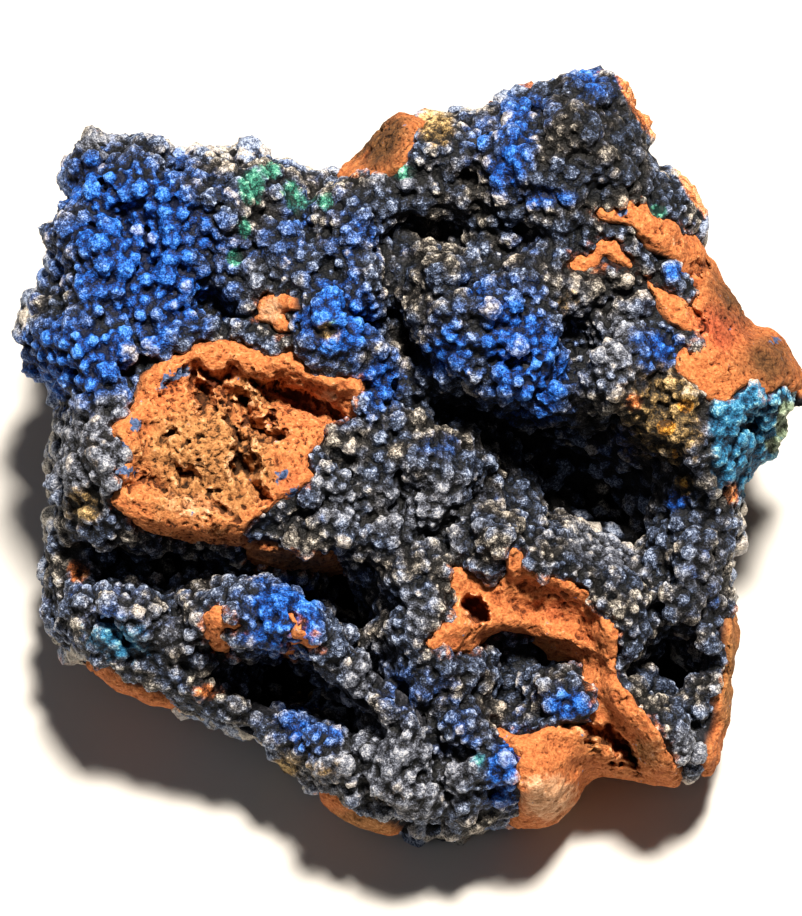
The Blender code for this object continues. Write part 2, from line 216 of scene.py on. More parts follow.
# The face's outline, clockwise from the left
OUTLINE = [
    (-88.6, 28.1), (-85.4, 37.9), (-82.6, 42.4), (-83.5, 47.8), (-82.6, 54.2), (-78.1, 61.2),
    (-76.8, 66.4), (-74.6, 73.4), (-70.8, 74.3), (-67.6, 76.6), (-63.8, 73.7), (-57.4, 73.7),
    (-50.7, 71.0), (-44.3, 70.5), (-36.7, 70.5), (-36.3, 73.0), (-34.4, 73.9), (-31.5, 71.2),
    (-26.4, 68.3), (-23.5, 67.9), (-18.8, 64.9), (-12.4, 67.6), (-9.8, 68.9), (-6.6, 74.0),
    (-2.1, 78.5), (0.0, 80.4), (4.8, 77.5), (9.6, 79.7), (18.5, 80.1), (22.7, 83.0),
    (26.2, 85.4), (36.4, 86.2), (39.6, 89.5), (47.9, 90.0), (50.8, 85.5), (54.6, 80.7),
    (58.4, 75.3), (59.1, 72.1), (62.3, 66.4), (67.1, 61.9), (69.3, 56.1), (69.6, 51.0),
    (72.2, 44.0), (77.3, 36.3), (80.5, 30.6), (85.6, 29.0), (88.8, 26.2), (92.0, 20.7),
    (93.0, 13.0), (88.8, 5.7), (84.3, 0.3), (79.5, -3.2), (78.6, -12.2), (78.9, -20.0),
    (75.4, -27.5), (77.6, -37.7), (77.3, -45.3), (75.7, -51.7), (76.4, -58.5), (74.4, -63.2),
    (74.4, -68.3), (70.3, -75.0), (61.3, -76.0), (53.6, -74.1), (43.1, -72.5), (42.1, -76.6),
    (37.0, -82.7), (33.2, -85.0), (21.1, -85.0), (14.7, -88.3), (8.0, -89.1), (0.6, -86.9),
    (-9.1, -85.5), (-16.8, -80.5), (-21.3, -77.3), (-27.7, -70.9), (-30.9, -66.1),
    (-37.9, -62.9), (-44.9, -62.2), (-51.3, -58.4), (-60.2, -55.9), (-67.3, -52.4),
    (-72.4, -47.6), (-79.4, -41.8), (-82.1, -35.1), (-82.6, -26.0), (-80.6, -11.0),
    (-82.1, -5.0), (-80.0, 10.2), (-79.7, 14.7), (-85.4, 20.4),
]

# Planes that the block broke along behind its face: a point of each and the side that went
BREAKS = [
    ((0, 90, -42), (0.05, 0.87, -0.5)),
    ((-60, 86, -58), (-0.5, 0.72, -0.48)),
    ((62, 82, -62), (0.55, 0.68, -0.48)),
    ((-83, 10, -54), (-0.93, 0.1, -0.34)),
    ((-74, -32, -50), (-0.76, -0.5, -0.42)),
    ((80, 0, -58), (0.94, -0.05, -0.33)),
    ((74, -60, -52), (0.66, -0.6, -0.45)),
    ((0, -84, -46), (0.1, -0.86, -0.5)),
    ((-20, 60, -128), (-0.2, 0.5, -0.84)),
]

# Lumps, caves and pits that the solids have too
SWELLS = {name: Swell(*values) for name, values in {
    "blue_field": (-61, 46, 27, 30, 0, 5, 2.0),
    "blue_shoulder": (-78, 26, 11, 11, 0, 4, 2.0),
    "left_bolster": (-73, 4, 9, 20, 0, 7, 3.0),
    "terrace": (-46, -4, 30, 15, -4, 9, 4.0),
    "terrace_lip": (-44, -15, 24, 5, -5, 4, 2.0),
    "terrace_tail": (-16, 15, 12, 4, -20, 4, 2.0),
    "dome": (-15, 33, 11, 11, 0, 12, 3.0),
    "top_middle": (-6, 52, 22, 14, 0, 3, 2.0),
    "heart": (5, -8, 25, 18, 20, 5, 3.0),
    "heart_left": (-12, -8, 12, 14, 0, 4, 2.0),
    "curtain": (23, 27, 17, 15, -15, 14, 3.0),
    "curtain_left": (8, 36, 9, 8, 0, 5, 2.5),
    "curtain_drop": (25, 15, 5, 5, 0, 5, 3.0),
    "curtain_tip": (35, 13, 5, 7, 20, 7, 3.0),
    "right_cluster": (47, 17, 7, 15, 8, 9, 3.0),
    "broken_section": (60, 12, 13, 24, 10, 5, 3.0),
    "peak": (41, 76, 15, 13, 0, 7, 2.4),
    "peak_left": (24, 74, 13, 11, 0, 4, 2.0),
    "crown": (40, 58, 22, 14, -15, 4, 2.0),
    "lower_left": (-63, -38, 17, 9, -20, 6, 3.0),
    "knob": (-33, -38, 14, 8.5, -8, 13, 3.0),
    "round_cluster": (3, -33, 9, 9, 0, 6, 2.6),
    "round_foot": (0, -44, 8, 6, 0, 5, 2.6),
    "bottom_lobe": (-1, -68, 27, 18, -8, 7, 3.0),
    "bottom_right": (33, -75, 10, 10, 0, 3, 2.0),
    "blue_nest": (36, -55, 8, 6, -10, 4, 3.0),
    "right_wall": (71, -25, 7, 30, 0, 2, 2.0),
    "main_cave": (43, -3, 19, 11.5, -12, -38, 3.8),
    "main_cave_left": (19, 10, 14, 5.5, -14, -28, 3.4),
    "main_cave_foot": (49, -18, 10, 8, -25, -22, 3.0),
    "right_gap": (40, 22, 3.8, 8, 10, -12, 2.6),
    "right_notch": (63, -14, 8, 6, 10, -8, 2.0),
    "lower_right_cave": (61.5, -47, 7.5, 8.5, -10, -28, 3.8),
    "lower_right_slot": (66, -58, 3, 9, 5, -8, 2.4),
    "fork_hollow": (35.5, -36.5, 12.5, 8, -22, -11, 3.2),
    "under_fork": (32, -45.5, 13, 4, -14, -17, 3.0),
    "nest_pocket": (25, -55, 5.5, 7, -15, -15, 3.2),
    "left_groove": (-57, -24.5, 18, 5.8, -2, -24, 4.0),
    "left_notch": (-80, -22, 6, 8, 0, -10, 2.0),
    "knob_cave": (-12.5, -33, 7.5, 8.5, 40, -26, 3.6),
    "lower_cave": (-23, -53, 15, 6, -24, -29, 3.6),
    "lower_cave_end": (-9, -61, 8, 4.5, -8, -18, 3.0),
    "lower_left_cave": (-43, -48, 5, 3.5, -35, -12, 2.6),
    "left_pit": (-52, -37, 4, 5, 0, -12, 2.6),
    "left_pit_low": (-57, -47, 5.5, 3.2, -25, -10, 2.6),
    "middle_pit": (-5, -50, 3.5, 4.5, -40, -12, 2.6),
    "top_pit": (16.5, 65, 5, 3.8, -10, -11, 2.8),
    "peak_pit": (49, 76, 3.5, 4.5, 10, -9, 2.6),
    "crown_pit_left": (5, 52, 5.5, 3.5, 0, -10, 2.4),
    "crown_pit_right": (15, 54, 5.5, 4, 20, -9, 2.4),
    "dome_pit": (-1, 30, 3, 4, 0, -9, 2.4),
    "field_pit": (-42.5, 39, 2.6, 5.5, 0, -10, 2.6),
    "curtain_pit": (7, 22, 4, 3, 30, -10, 2.2),
    "heart_pit": (20, -6, 3.5, 4, 0, -7, 2.4),
}.items()}

# Ridges and clefts: the line, half width, rise and steepness
RIDGES = {
    "dome_valley": ([(4, 57), (0, 46), (-2, 34), (4, 24)], 4.6, -9, 2.6),
    "groove_right": ([(-42, -25), (-30, -27), (-22, -28), (-12, -30)], 3.0, -16, 3.0),
    "cave_sill": ([(24, -20), (34, -26), (46, -30), (50, -38)], 5.0, 8, 2.6),
    "knob_ridge": ([(-20, -37), (-13, -46), (-5, -56), (-1, -62)], 4.4, 9, 2.6),
    "fork_ridge": ([(9, -42), (20, -37), (32, -43), (45, -47), (50, -55), (60, -70)], 4.4, 5, 2.4),
    "fork_slot": ([(43, -54), (48, -60), (54, -68)], 2.4, -9, 2.4),
    "terrace_cleft": ([(-27, 16), (-20, 14), (-13, 10)], 2.0, -6, 2.2),
}

# Caves and clefts of the crust that are too fine for the solids
CRUST_SWELLS = {name: Swell(*values) for name, values in {
    "knob_cave_low": (-9.5, -42, 4.2, 7, 20, -14, 3.0),
    "lower_cave_sill": (-30, -54.5, 9, 4.5, -15, -13, 3.0),
    "fork_hollow_floor": (35.5, -36.5, 11, 7, -22, 8.8, 3.0),
    "lower_cave_top": (-28, -48.5, 11, 3.2, -22, -15, 3.0),
    "heart_cleft": (10, -20, 4, 3, -20, -5, 2.4),
    "wall_cleft": (69, -14, 3, 5, 0, -5, 2.4),
    "wall_cleft_low": (70, -34, 3, 4, 0, -5, 2.4),
    "curtain_cleft": (20, 21, 2.4, 7, 15, -5, 2.4),
    "curtain_cleft_right": (36, 27, 2.2, 6, -10, -4, 2.4),
    "crown_cleft": (24, 50, 7, 2.2, -15, -4, 2.4),
    "peak_cleft": (33, 73, 2.2, 8, 5, -4, 2.4),
}.items()}

CRUST_RIDGES = {
    "ridge_valley": ([(-13, -30), (-10, -38), (-6, -46), (-1, -52)], 3.6, -9, 2.6),
    "heart_gully": ([(-9, 2), (-3, -8), (2, -16), (0, -25)], 2.2, -4, 2.2),
    "heart_gully_right": ([(12, 2), (16, -7), (24, -13)], 2.2, -5, 2.2),
    "field_gully": ([(-68, 55), (-58, 50), (-48, 52), (-40, 46)], 2.0, -3, 2.2),
    "field_gully_low": ([(-76, 40), (-64, 36), (-52, 38), (-46, 32)], 2.0, -3, 2.2),
    "lobe_gully": ([(-12, -66), (-2, -64), (8, -70), (16, -68)], 2.0, -3, 2.2),
}

# Breaks, pores and edges of the bare limonite
BARE_SWELLS = {name: Swell(*values) for name, values in {
    "terrace_hollow": (-30, 11, 9, 7, -25, -1.6, 2.6),
    "terrace_crevice": (-21.5, 12.4, 8.5, 1.7, -27, -8.0, 3.0),
    "terrace_crevice_end": (-30.5, 15.2, 3.0, 2.0, -35, -6.0, 3.0),
    "terrace_hole_high": (-30.1, 9.0, 1.5, 1.3, 0, -7.0, 3.0),
    "terrace_hole_far": (-46.5, 16.5, 1.0, 2.2, 25, -5.0, 3.0),
    "terrace_hole_rim": (-33.5, 18.0, 1.2, 1.8, 10, -6.0, 3.0),
    "terrace_groove": (-58, -6.2, 6.5, 1.0, -14, -2.0, 3.0),
    "terrace_hole": (-36.2, 11.5, 1.8, 3.0, 20, -10.0, 3.0),
    "terrace_hole_low": (-30, 5.5, 3.6, 1.7, -8, -9.0, 3.0),
    "terrace_hole_mid": (-34, 7.5, 2.0, 2.2, 0, -7.0, 3.0),
    "terrace_hole_left": (-45.5, 12.5, 1.5, 3.0, 25, -7.0, 3.0),
    "terrace_hole_top": (-41, 19, 1.6, 2.6, -30, -6.0, 3.0),
    "terrace_pit": (-52, 4, 2.8, 1.0, 10, -2.6, 2.4),
    "terrace_pit_low": (-50, -4, 2.6, 1.2, -40, -6.0, 2.4),
    "terrace_pit_right": (-37, -3, 1.1, 5.0, 8, -7.0, 2.4),
    "terrace_edge_pit": (-44, -11, 3.5, 1.0, -10, -2.4, 2.4),
    "terrace_step": (-52, -13, 14, 4.5, -6, 1.6, 4.0),
    "terrace_knoll": (-46, 1, 8, 4, -10, 1.4, 3.0),
    "slope_step": (58, 50, 8, 4, -40, 2.2, 4.0),
    "slope_knee": (74, 28, 8, 10, -30, 2.0, 3.0),
    "slope_pit": (67, 44, 2.0, 4.0, -35, -2.0, 2.4),
    "fork_floor": (36.5, -35.8, 10.5, 5.8, -28, -3.0, 7.0),
    "fork_bump": (27.5, -33.0, 4.5, 2.0, 25, 1.6, 3.0),
    "fork_bump_low": (38, -42.0, 6, 1.6, -35, 1.8, 3.0),
    "fork_hole": (17.1, -35.4, 2.3, 3.0, 30, -12, 6.0),
    "fork_arm": (24.5, -26, 2.2, 7, 0, 3.0, 3.0),
    "fork_sill": (16, -41, 7, 3.0, -25, 2.0, 3.0),
    "fork_foot": (35, -79, 7, 6, 0, 3.0, 2.4),
    "crest_left": (-10, 67, 3, 5, -40, 2.0, 2.4),
    "crest_cleft": (-5, 71, 1.4, 5, -30, -2.5, 2.4),
}.items()}

BARE_RIDGES = {
    "terrace_rim": ([(-65, -2), (-62, 9), (-57, 18), (-48, 23.5), (-38, 24.5), (-29, 20.5),
                     (-19, 18.5), (-10, 17.5)], 3.0, 3.0, 3.0),
    "terrace_crack": ([(-37, 6), (-35.4, -3), (-32, -9)], 1.3, -7.0, 2.6),
    "terrace_split": ([(-45, 20), (-40, 13), (-37, 5)], 1.0, -4.5, 2.4),
    "terrace_line": ([(-62, -3), (-54, -6), (-44, -9), (-38, -14)], 0.8, -1.4, 2.4),
    "fork_rib": ([(46, -38), (51, -48), (58, -60), (64, -72)], 2.2, 2.4, 3.0),
    "fork_crack": ([(37, -59), (45, -63), (53, -70)], 1.5, -8.0, 2.6),
    "slope_crack": ([(70, 45), (66, 38), (70, 30), (66, 24)], 1.0, -3.5, 2.4),
}

# Loops inside which the limonite is bare, and lines along the rim where it shows
BARE = {
    "terrace": [
        (-67.0, 6.3), (-62.2, 12.1), (-59.6, 14.0), (-58.3, 18.5), (-52.6, 23.3), (-44.9, 26.0),
        (-37.9, 26.6), (-30.5, 22.8), (-25.4, 23.9), (-20.6, 19.4), (-11.7, 18.1), (-8.8, 19.1),
        (-7.7, 17.2), (-11.4, 9.5), (-15.8, 7.5), (-21.9, 1.9), (-19.7, -3.3), (-20.6, -5.8),
        (-29.3, -9.6), (-34.7, -15.4), (-36.6, -20.8), (-50.0, -18.6), (-59.0, -17.3),
        (-67.6, -11.2), (-64.1, -6.5), (-66.6, -3.9), (-60.9, 1.2),
    ],
    "fork": [
        (5.1, -44.7), (9.9, -37.7), (12.5, -33.2), (11.2, -24.7), (19.8, -28.8), (24.3, -28.5),
        (24.6, -20.2), (27.4, -20.2), (28.8, -26.3), (38.3, -27.9), (41.5, -30.1), (46.0, -36.4),
        (50.8, -40.9), (49.8, -48.6), (51.1, -53.0), (58.1, -59.4), (63.3, -67.1), (63.6, -78.0),
        (43.5, -77.0), (40.0, -90.0), (21.0, -90.0), (28.1, -81.2), (26.2, -74.8), (26.8, -67.1),
        (21.1, -61.0), (28.0, -63.0), (35.8, -62.0), (44.7, -60.1), (42.2, -52.4), (41.5, -47.9),
        (34.5, -46.0), (29.4, -41.5), (23.0, -40.3), (17.3, -45.0), (8.9, -45.3),
    ],
    "slope": [
        (43.1, 57.1), (50.5, 57.1), (51.8, 59.3), (56.2, 59.0), (58.1, 55.5), (63.9, 54.2),
        (69.6, 49.1), (75.0, 41.0), (82.0, 34.0), (95.0, 28.0), (98.0, 18.0), (92.1, 15.9),
        (86.9, 16.5), (83.7, 13.0), (81.2, 19.1), (75.4, 12.0), (69.6, 15.6), (63.9, 20.7),
        (63.9, 23.6), (69.0, 28.1), (60.4, 33.8), (56.5, 41.7), (66.8, 35.7), (69.6, 38.9),
        (62.6, 47.2), (55.0, 50.4), (51.8, 54.2), (46.0, 54.2),
    ],
    "vein": [(42.0, 47.5), (45.0, 50.8), (50.0, 50.4), (54.6, 42.5), (50.0, 43.5), (46.5, 46.5)],
    "tablet": [(38.3, 47.5), (47.0, 46.6), (47.0, 43.0), (39.0, 43.0)],
    "crest": [
        (-14.6, 65.7), (-12.0, 72.0), (-2.0, 88.0), (6.0, 84.0), (4.5, 75.3), (-1.0, 67.0),
        (-9.1, 64.4),
    ],
    "chip": [
        (-33.4, 36.0), (-31.0, 38.6), (-26.2, 38.2), (-25.8, 35.0), (-28.2, 33.0), (-26.4, 31.0),
        (-25.8, 28.4), (-29.0, 28.2), (-30.8, 31.0), (-33.8, 31.6), (-32.6, 34.0),
    ],
    "knob_left": [
        (-46.6, -36.0), (-42.2, -33.8), (-38.6, -35.2), (-37.0, -38.3), (-35.0, -40.6),
        (-39.1, -41.0), (-40.6, -39.8), (-40.6, -42.2), (-37.6, -46.6), (-42.6, -45.0),
        (-45.8, -40.7),
    ],
    "knob_right": [
        (-25.4, -34.8), (-22.6, -37.0), (-19.0, -40.4), (-17.8, -44.8), (-21.9, -43.8),
        (-24.0, -42.6), (-25.0, -46.8), (-28.0, -46.0), (-26.4, -42.2), (-25.4, -39.1),
    ],
    "ledge": [(-36.0, -20.5), (-14.9, -22.5), (-11.7, -27.9), (-28.3, -25.6), (-36.0, -24.5)],
}

BARE_RIMS = [
    ([(79.5, -37), (79, -46), (77, -53), (77.5, -60), (75.5, -66), (73, -76)], 3.4),
    ([(-72, -51), (-65, -56), (-55, -59.5)], 3.4),
    ([(-18, -81), (-12, -86), (-4, -89)], 3.6),
]

# Where each pigment lies: blobs in face millimetres
STAINS = {pigment: [Blob(*spot) for spot in spots] for pigment, spots in {
    Pigment.AZURE: [
        (-59, 47, 19, 22), (-74, 24, 13, 11), (-70, 61, 10, 10, 0, 0.8), (-14, 32, 10, 10, 0, 0.9),
        (-11, 52, 10, 11, 0, 0.45), (-4, 17, 4.5, 8), (11, 25, 7, 7, 0, 0.85), (28, 24, 10, 15, 20),
        (20, 36, 10, 6, -20, 0.5), (33, 12, 6, 5, 0, 0.7), (25, 70, 5, 10, -20, 0.9),
        (34, 60, 6, 3, 0, 0.7), (44, 86, 8, 4, -20, 0.7), (27, 81, 7, 5, 0, 0.6),
        (18, 73, 5, 6, 0, 0.5), (-27, -37, 9, 9), (24.5, -72, 5, 10, -15, 0.95),
        (38, -57, 6, 4, -20), (-23, -62.5, 9, 5, -20, 0.7), (62.6, 42.7, 2.6, 2.6),
        (59, 25, 6, 5, 0, 0.8), (63.9, -9.6, 3, 3), (-66, -36, 14, 8, 0, 0.35),
        (70, -30, 5, 8, 0, 0.3), (-24, 52, 9, 12, 0, 0.4), (8, 3, 5, 4, 0, 0.4),
        (52, 2, 6, 5, 0, 0.45), (13, -62, 7, 6, 0, 0.45), (3, -53, 12, 8, 0, 0.42),
        (46, 78, 5, 6, 0, 0.2), (30, 48, 8, 5, 0, 0.3),
    ],
    Pigment.GREY: [
        (-71, 2, 11, 17, 0, 1.05), (-62, -38, 20, 10, -10, 0.7), (5, -12, 20, 15, 0, 0.7),
        (50, 26, 10, 14, 0, 0.65), (-2, -72, 24, 13, 0, 1.0), (-9, -51, 6, 14, -35, 0.9),
        (-69, 71, 8, 5), (-14, -8, 12, 14, 0, 0.6), (45, -20, 14, 7, -30, 0.7),
        (63, -4, 7, 7, 0, 0.8), (58, 68, 10, 14, -30, 0.4), (70, -28, 9, 12, 0, 0.6),
        (3, -36, 9, 10, 0, 0.6), (66, -66, 10, 8, 0, 0.7), (40, 36, 8, 8, 0, 0.6),
        (-34, 44, 6, 12, 0, 0.6), (4, 42, 5, 12, 0, 0.3), (0, 64, 14, 4, 0, 0.7),
    ],
    Pigment.OCHRE: [
        (60, 9, 12, 13, 0, 0.85), (65.5, 12, 3, 2.5, 0, 1.8), (61, 7, 3.5, 3, 0, 1.8),
        (65, -6, 2, 2.5, 0, 1.6), (63, 1, 2, 3, 0, 1.4), (-73, -11, 5, 5, 0, 0.9),
        (-26, -71, 4, 4, 0, 0.8), (8, 76, 5, 5, 0, 0.9), (-22.6, -54.5, 3, 2.5, 0, 0.8),
        (-17, 29, 3.5, 3.5, 0, 0.8), (-15, -79.5, 3, 3, 0, 0.8), (38, 36, 4, 4, 0, 0.6),
        (-27, 60, 6, 5, 0, 0.35), (12, -83, 8, 4, 0, 0.3), (-18, -72, 9, 5, 0, 0.5),
        (-72, 2, 8, 15, 0, 0.4), (-4, -78, 13, 6, 0, 0.4),
    ],
    Pigment.GREEN: [
        (-34.3, 62.5, 3.2, 4), (-30, 66, 3, 2.5, 0, 0.8), (-24.5, 60, 2.6, 4.5, 30, 0.8),
        (-17.5, 59, 3.4, 2.4, 0, 0.7), (-36, 53, 1.8, 3.2, 0, 0.8), (-38.4, 46, 2, 2),
        (0, 66, 3.6, 2, 0, 0.9), (58.7, 56.4, 2.4, 2), (37, -66.5, 5, 2.4, 0, 0.6),
        (-15.5, 31, 2.4, 2.4, 0, 0.5), (18, -70, 2.6, 4, 0, 0.5),
    ],
    Pigment.TEAL: [
        (82, 5, 9, 13, -20, 1.2), (-65, -42, 10, 6, -15, 0.6), (18, -70, 3, 4, 0, 0.5),
        (76, 8, 5, 10, 0, 1.0), (-70, -52, 5, 3, 0, 0.4),
    ],
    Pigment.SAGE: [
        (88.5, 9, 2.6, 5, -10, 1.1), (86, 3, 3, 2.6, 0, 0.9), (90, 16, 3, 3, 0, 0.6),
    ],
    Pigment.RUST: [
        (54.5, 81, 1.8, 11, 30, 1.0), (67, 62, 1.8, 9, 30, 1.0), (53.6, 12.8, 2.4, 2.4, 0, 0.8),
        (-74, -26, 3, 3, 0, 0.8), (76, -8, 2, 3, 0, 0.9), (-45, -54, 4, 3, 0, 0.7),
        (-16, -80, 3, 3, 0, 0.7),
    ],
    Pigment.RED: [
        (-20, 12, 11, 9, 0, 0.45), (-38, 23, 20, 5, 0, 0.2), (-60, 6, 6, 12, 20, 0.2),
        (35, -35, 12, 8, -20, 0.4), (12, -40, 8, 6, 0, 0.35), (74, 31, 9, 9, 0, 0.7),
        (48, -55, 5, 8, 20, 0.3), (-26, -6, 8, 8, 0, 0.4),
    ],
    # Brown limonite; the spot on the ledge under the terrace's lip is painted shade
    Pigment.UMBER: [
        (-4, 73, 9, 10, 0, 0.9), (84, 22, 10, 8, 0, 0.8), (76, 36, 9, 14, 30, 0.7),
        (-24, -24, 16, 5, 0, 0.7), (62, 60, 6, 8, 0, 0.5), (77, -48, 3, 22, 0, 0.5),
        (46, -40, 5, 5, 0, 0.3),
    ],
    # Dark crust, and painted shade in the main cave, under ledges and in valleys
    Pigment.SOOT: [
        (-74, 73, 12, 8, 0, 1.2), (41, 84, 12, 6, 0, 0.9), (50, 68, 13, 17, 10, 1.0),
        (46, 46, 12, 8, -20, 0.7), (3, 48, 8, 17, 0, 0.5), (40, 78, 12, 10, 0, 0.9),
        (12, 62, 12, 8, 0, 0.5), (31, -46, 9, 3, -14, 1.0), (57, 2, 8, 10, 0, 0.5),
        (15, -14, 14, 12, -30, 0.35), (38, -24, 16, 7, -25, 0.4), (70, -30, 7, 24, 0, 0.5),
        (-28, 38, 8, 6, 0, 0.5), (-69, 71, 10, 6, 0, 0.9), (46, -2, 21, 10, -12, 1.5),
        (20, 9, 14, 5, -12, 1.2), (30, 46, 10, 6, 0, 0.5), (60, 54, 6, 10, 0, 0.4),
    ],
    Pigment.PALE: [
        (-48, -11, 15, 5, -5, 0.5), (58, -68, 6, 6, -40, 0.4), (34, -78, 7, 6, 0, 1.0),
        (-17, 14, 2.6, 1.6, 0, 1.0), (-30, 34, 3, 4, 0, 0.8), (64, 50, 4, 3, 0, 0.4),
        (-40, 24, 6, 2, 0, 0.4), (12, -40, 4, 4, 0, 0.3),
    ],
}.items()}
MATRIX_AZURE = [Blob(*spot) for spot in (
    (-53, 18, 3, 1.8, 30), (-50, 20, 2, 1.4), (-61, 7.7, 1.6, 2), (-64, 1.6, 2, 2),
    (-27, -3.8, 2, 1.4, 30), (-24.5, -8.3, 2, 1.4), (-64, -3, 3, 2), (51, 57, 1.4, 1),
    (56, 33, 2, 1.5), (86, 27, 1.4, 1),
)]
# Where the bare limonite is porous, not dense
POROUS = [Blob(*spot) for spot in (
    (-38, 8, 22, 14, -10, 1.0), (-48, -2, 16, 14, 0, 0.9), (66, 24, 8, 8, 0, 0.4),
    (74, 34, 12, 18, 30, 0.5), (82, 20, 12, 9, 0, 0.5), (58, 54, 9, 6, -20, 0.4),
    (36, -34, 8, 5, -20, 0.2), (0, 74, 8, 8, 0, 0.9), (-24, -24, 15, 5, 0, 0.9),
    (-46, -17, 26, 6, -4, 0.8), (-43, -41, 6, 6, 0, 0.4), (-20, 14, 10, 5, -25, 0.5),
    (52, -68, 8, 5, -40, 0.5),
)]
MATRIX_OCHRE = [Blob(*spot) for spot in (
    (-45, 0, 18, 15, 0, 1.0), (-48, -10, 14, 7, 0, 0.7), (-34, 14, 10, 8, 0, 0.6),
    (-9, -84, 9, 5, 0, 0.9), (56, -68, 8, 5, 30, 0.7), (76, -50, 3, 24, 0, 0.8),
    (45, -66, 6, 4, 0, 0.6), (0, 73, 6, 8, 0, 0.4),
)]

# What is added to the size of the grapes, as a share of the usual
GRAPE_SIZES = [Blob(*spot) for spot in (
    (-62, 46, 24, 28, 0, 0.28), (-74, 22, 14, 12, 0, 0.25), (24, 26, 16, 16, 0, 0.12),
    (6, -12, 22, 16, 0, -0.2), (40, 64, 22, 18, 0, -0.25), (-2, -72, 26, 14, 0, -0.2),
    (-10, 52, 20, 12, 0, -0.15), (60, 12, 12, 18, 0, -0.5), (58, 46, 10, 10, 0, -0.5),
    (-70, 0, 10, 18, 0, -0.2), (82, 5, 12, 14, 0, -0.5), (-20, -50, 20, 6, -25, -0.3),
)]

# Layers of grapes, with the values of the inputs named first
GRAPE_INPUTS = ("Spacing", "Small radius", "Large radius", "Lift", "Least zone", "Most zone",
                "Least cover", "Core radius", "Nodule radius")
GRAPE_LAYERS = [
    (2.2, 0.9, 2.3, 0.35, 0.0, 0.9, 0.5, 0.86, 0.34),
    (2.6, 1.1, 2.6, 0.4, 0.9, 1.09, 0.5, 0.88, 0.32),
    (3.2, 1.2, 2.8, 0.5, 1.09, 9.0, 0.5, 0.95, 0.28),
    (1.8, 0.6, 1.1, 0.3, 0.0, 9.0, 0.2, 1.0, 0.25),
]


@dataclass(frozen=True)
class Placement:
    """Where the face stands in the frame, in millimetres and degrees."""

    lean: float = 60.0
    centre: tuple[float, float, float] = (-1.91, -20.81, 80.0)
    spread: float = 700.0

    def axes(self) -> tuple[Vector, Vector, Vector]:
        """Directions of u, v and w in the frame.

        Returns:
            Three unit vectors.
        """
        rise = math.radians(self.lean)
        up_face = Vector((0.0, math.sin(rise), math.cos(rise)))
        outward = Vector((0.0, -math.cos(rise), math.sin(rise)))
        return Vector((1.0, 0.0, 0.0)), up_face, outward

    def floor_at(self, depth: float) -> float:
        """How low the floor lies in the face's plane.

        Args:
            depth: The w to look at.

        Returns:
            The floor's v there.
        """
        rise = math.radians(self.lean)
        wide = 1.0 - depth / self.spread
        return -(self.centre[2] + depth * math.sin(rise)) / (math.cos(rise) * wide)

    def to_frame(self, points: Points) -> Points:
        """Face coordinates to the frame's metres.

        Args:
            points: (u, v, w) points in millimetres.

        Returns:
            (x, y, z) points in metres.
        """
        wide = 1.0 - points[:, 2] / self.spread
        flat = np.column_stack([points[:, 0] * wide, points[:, 1] * wide, points[:, 2]])
        turn = np.array([list(axis) for axis in self.axes()])
        return (flat @ turn + np.array(self.centre)) * MM


def relief_of(points: Points, swells: dict[str, Swell], ridges: dict[str, tuple]) -> Points:
    """Height that swells and ridges add up to.

    Args:
        points: (u, v) points.
        swells: The swells and hollows.
        ridges: The ridges and clefts: line, half width, rise and steepness.

    Returns:
        One height a point.
    """
    height = np.zeros(len(points))
    for swell in swells.values():
        height += swell.strength * np.exp(-BELL * swell.reach(points) ** swell.steep)
    for line, half_width, rise, steep in ridges.values():
        reach = line_distance(points, line, False) / half_width
        height += rise * np.exp(-BELL * reach ** steep)
    return height


@dataclass
class Relief:
    """The face's outline and relief, in millimetres."""

    rim_drop: float = 25.0
    rim_reach: float = 15.0
    rim_fade: float = 6.0

    def height(self, points: Points) -> Points:
        """Height of the face over its own plane.

        Args:
            points: (u, v) points.

        Returns:
            w for each point.
        """
        edge = np.maximum(inside_distance(points, OUTLINE), 0.0)
        fall = 1.0 - np.minimum(edge / self.rim_reach, 1.0)
        height = relief_of(points, SWELLS | CRUST_SWELLS, RIDGES | CRUST_RIDGES)
        shoulder = self.rim_drop * (1.0 - np.sqrt(1.0 - fall ** 2))
        return height * np.clip(edge / self.rim_fade, 0.0, 1.0) - shoulder

    def bare(self, points: Points) -> Points:
        """Distance into bare limonite, negative under the crust.

        Args:
            points: (u, v) points.

        Returns:
            One signed distance a point.
        """
        best = np.full(len(points), -np.inf)
        for loop in BARE.values():
            best = np.maximum(best, inside_distance(points, loop))
        for line, half_width in BARE_RIMS:
            best = np.maximum(best, half_width - line_distance(points, line, False))
        return best


def stain(points: Points, blobs: list[Blob]) -> Points:
    """How strongly a set of blobs tints each point.

    Args:
        points: (u, v) points.
        blobs: The blobs, each fading from its centre outwards.

    Returns:
        The strongest blob's value at each point, 0 where none reaches.
    """
    best = np.zeros(len(points))
    for blob in blobs:
        best = np.maximum(best, blob.strength * (STAIN_CENTRE - STAIN_FADE * blob.reach(points)))
    return best


# ---------------------------------------------------------------- mesh helpers


def new_object(name: str, mesh: bpy.types.Mesh) -> bpy.types.Object:
    """Link a mesh to the scene as an object.

    Args:
        name: The piece's name.
        mesh: Its mesh.

    Returns:
        The new object.
    """
    piece = bpy.data.objects.new(name, mesh)
    bpy.context.scene.collection.objects.link(piece)
    return piece


def copy_of(source: bpy.types.Object, name: str) -> bpy.types.Object:
    """A second object with a copy of the source's mesh."""
    return new_object(name, source.data.copy())


def corners_of(piece: bpy.types.Object, what: str = "co") -> Points:
    """The mesh's corners as an array.

    Args:
        piece: The object.
        what: "co" for their places or "normal" for their normals.

    Returns:
        One row a corner.
    """
    flat = np.empty(len(piece.data.vertices) * 3)
    piece.data.vertices.foreach_get(what, flat)
    return flat.reshape(-1, 3)


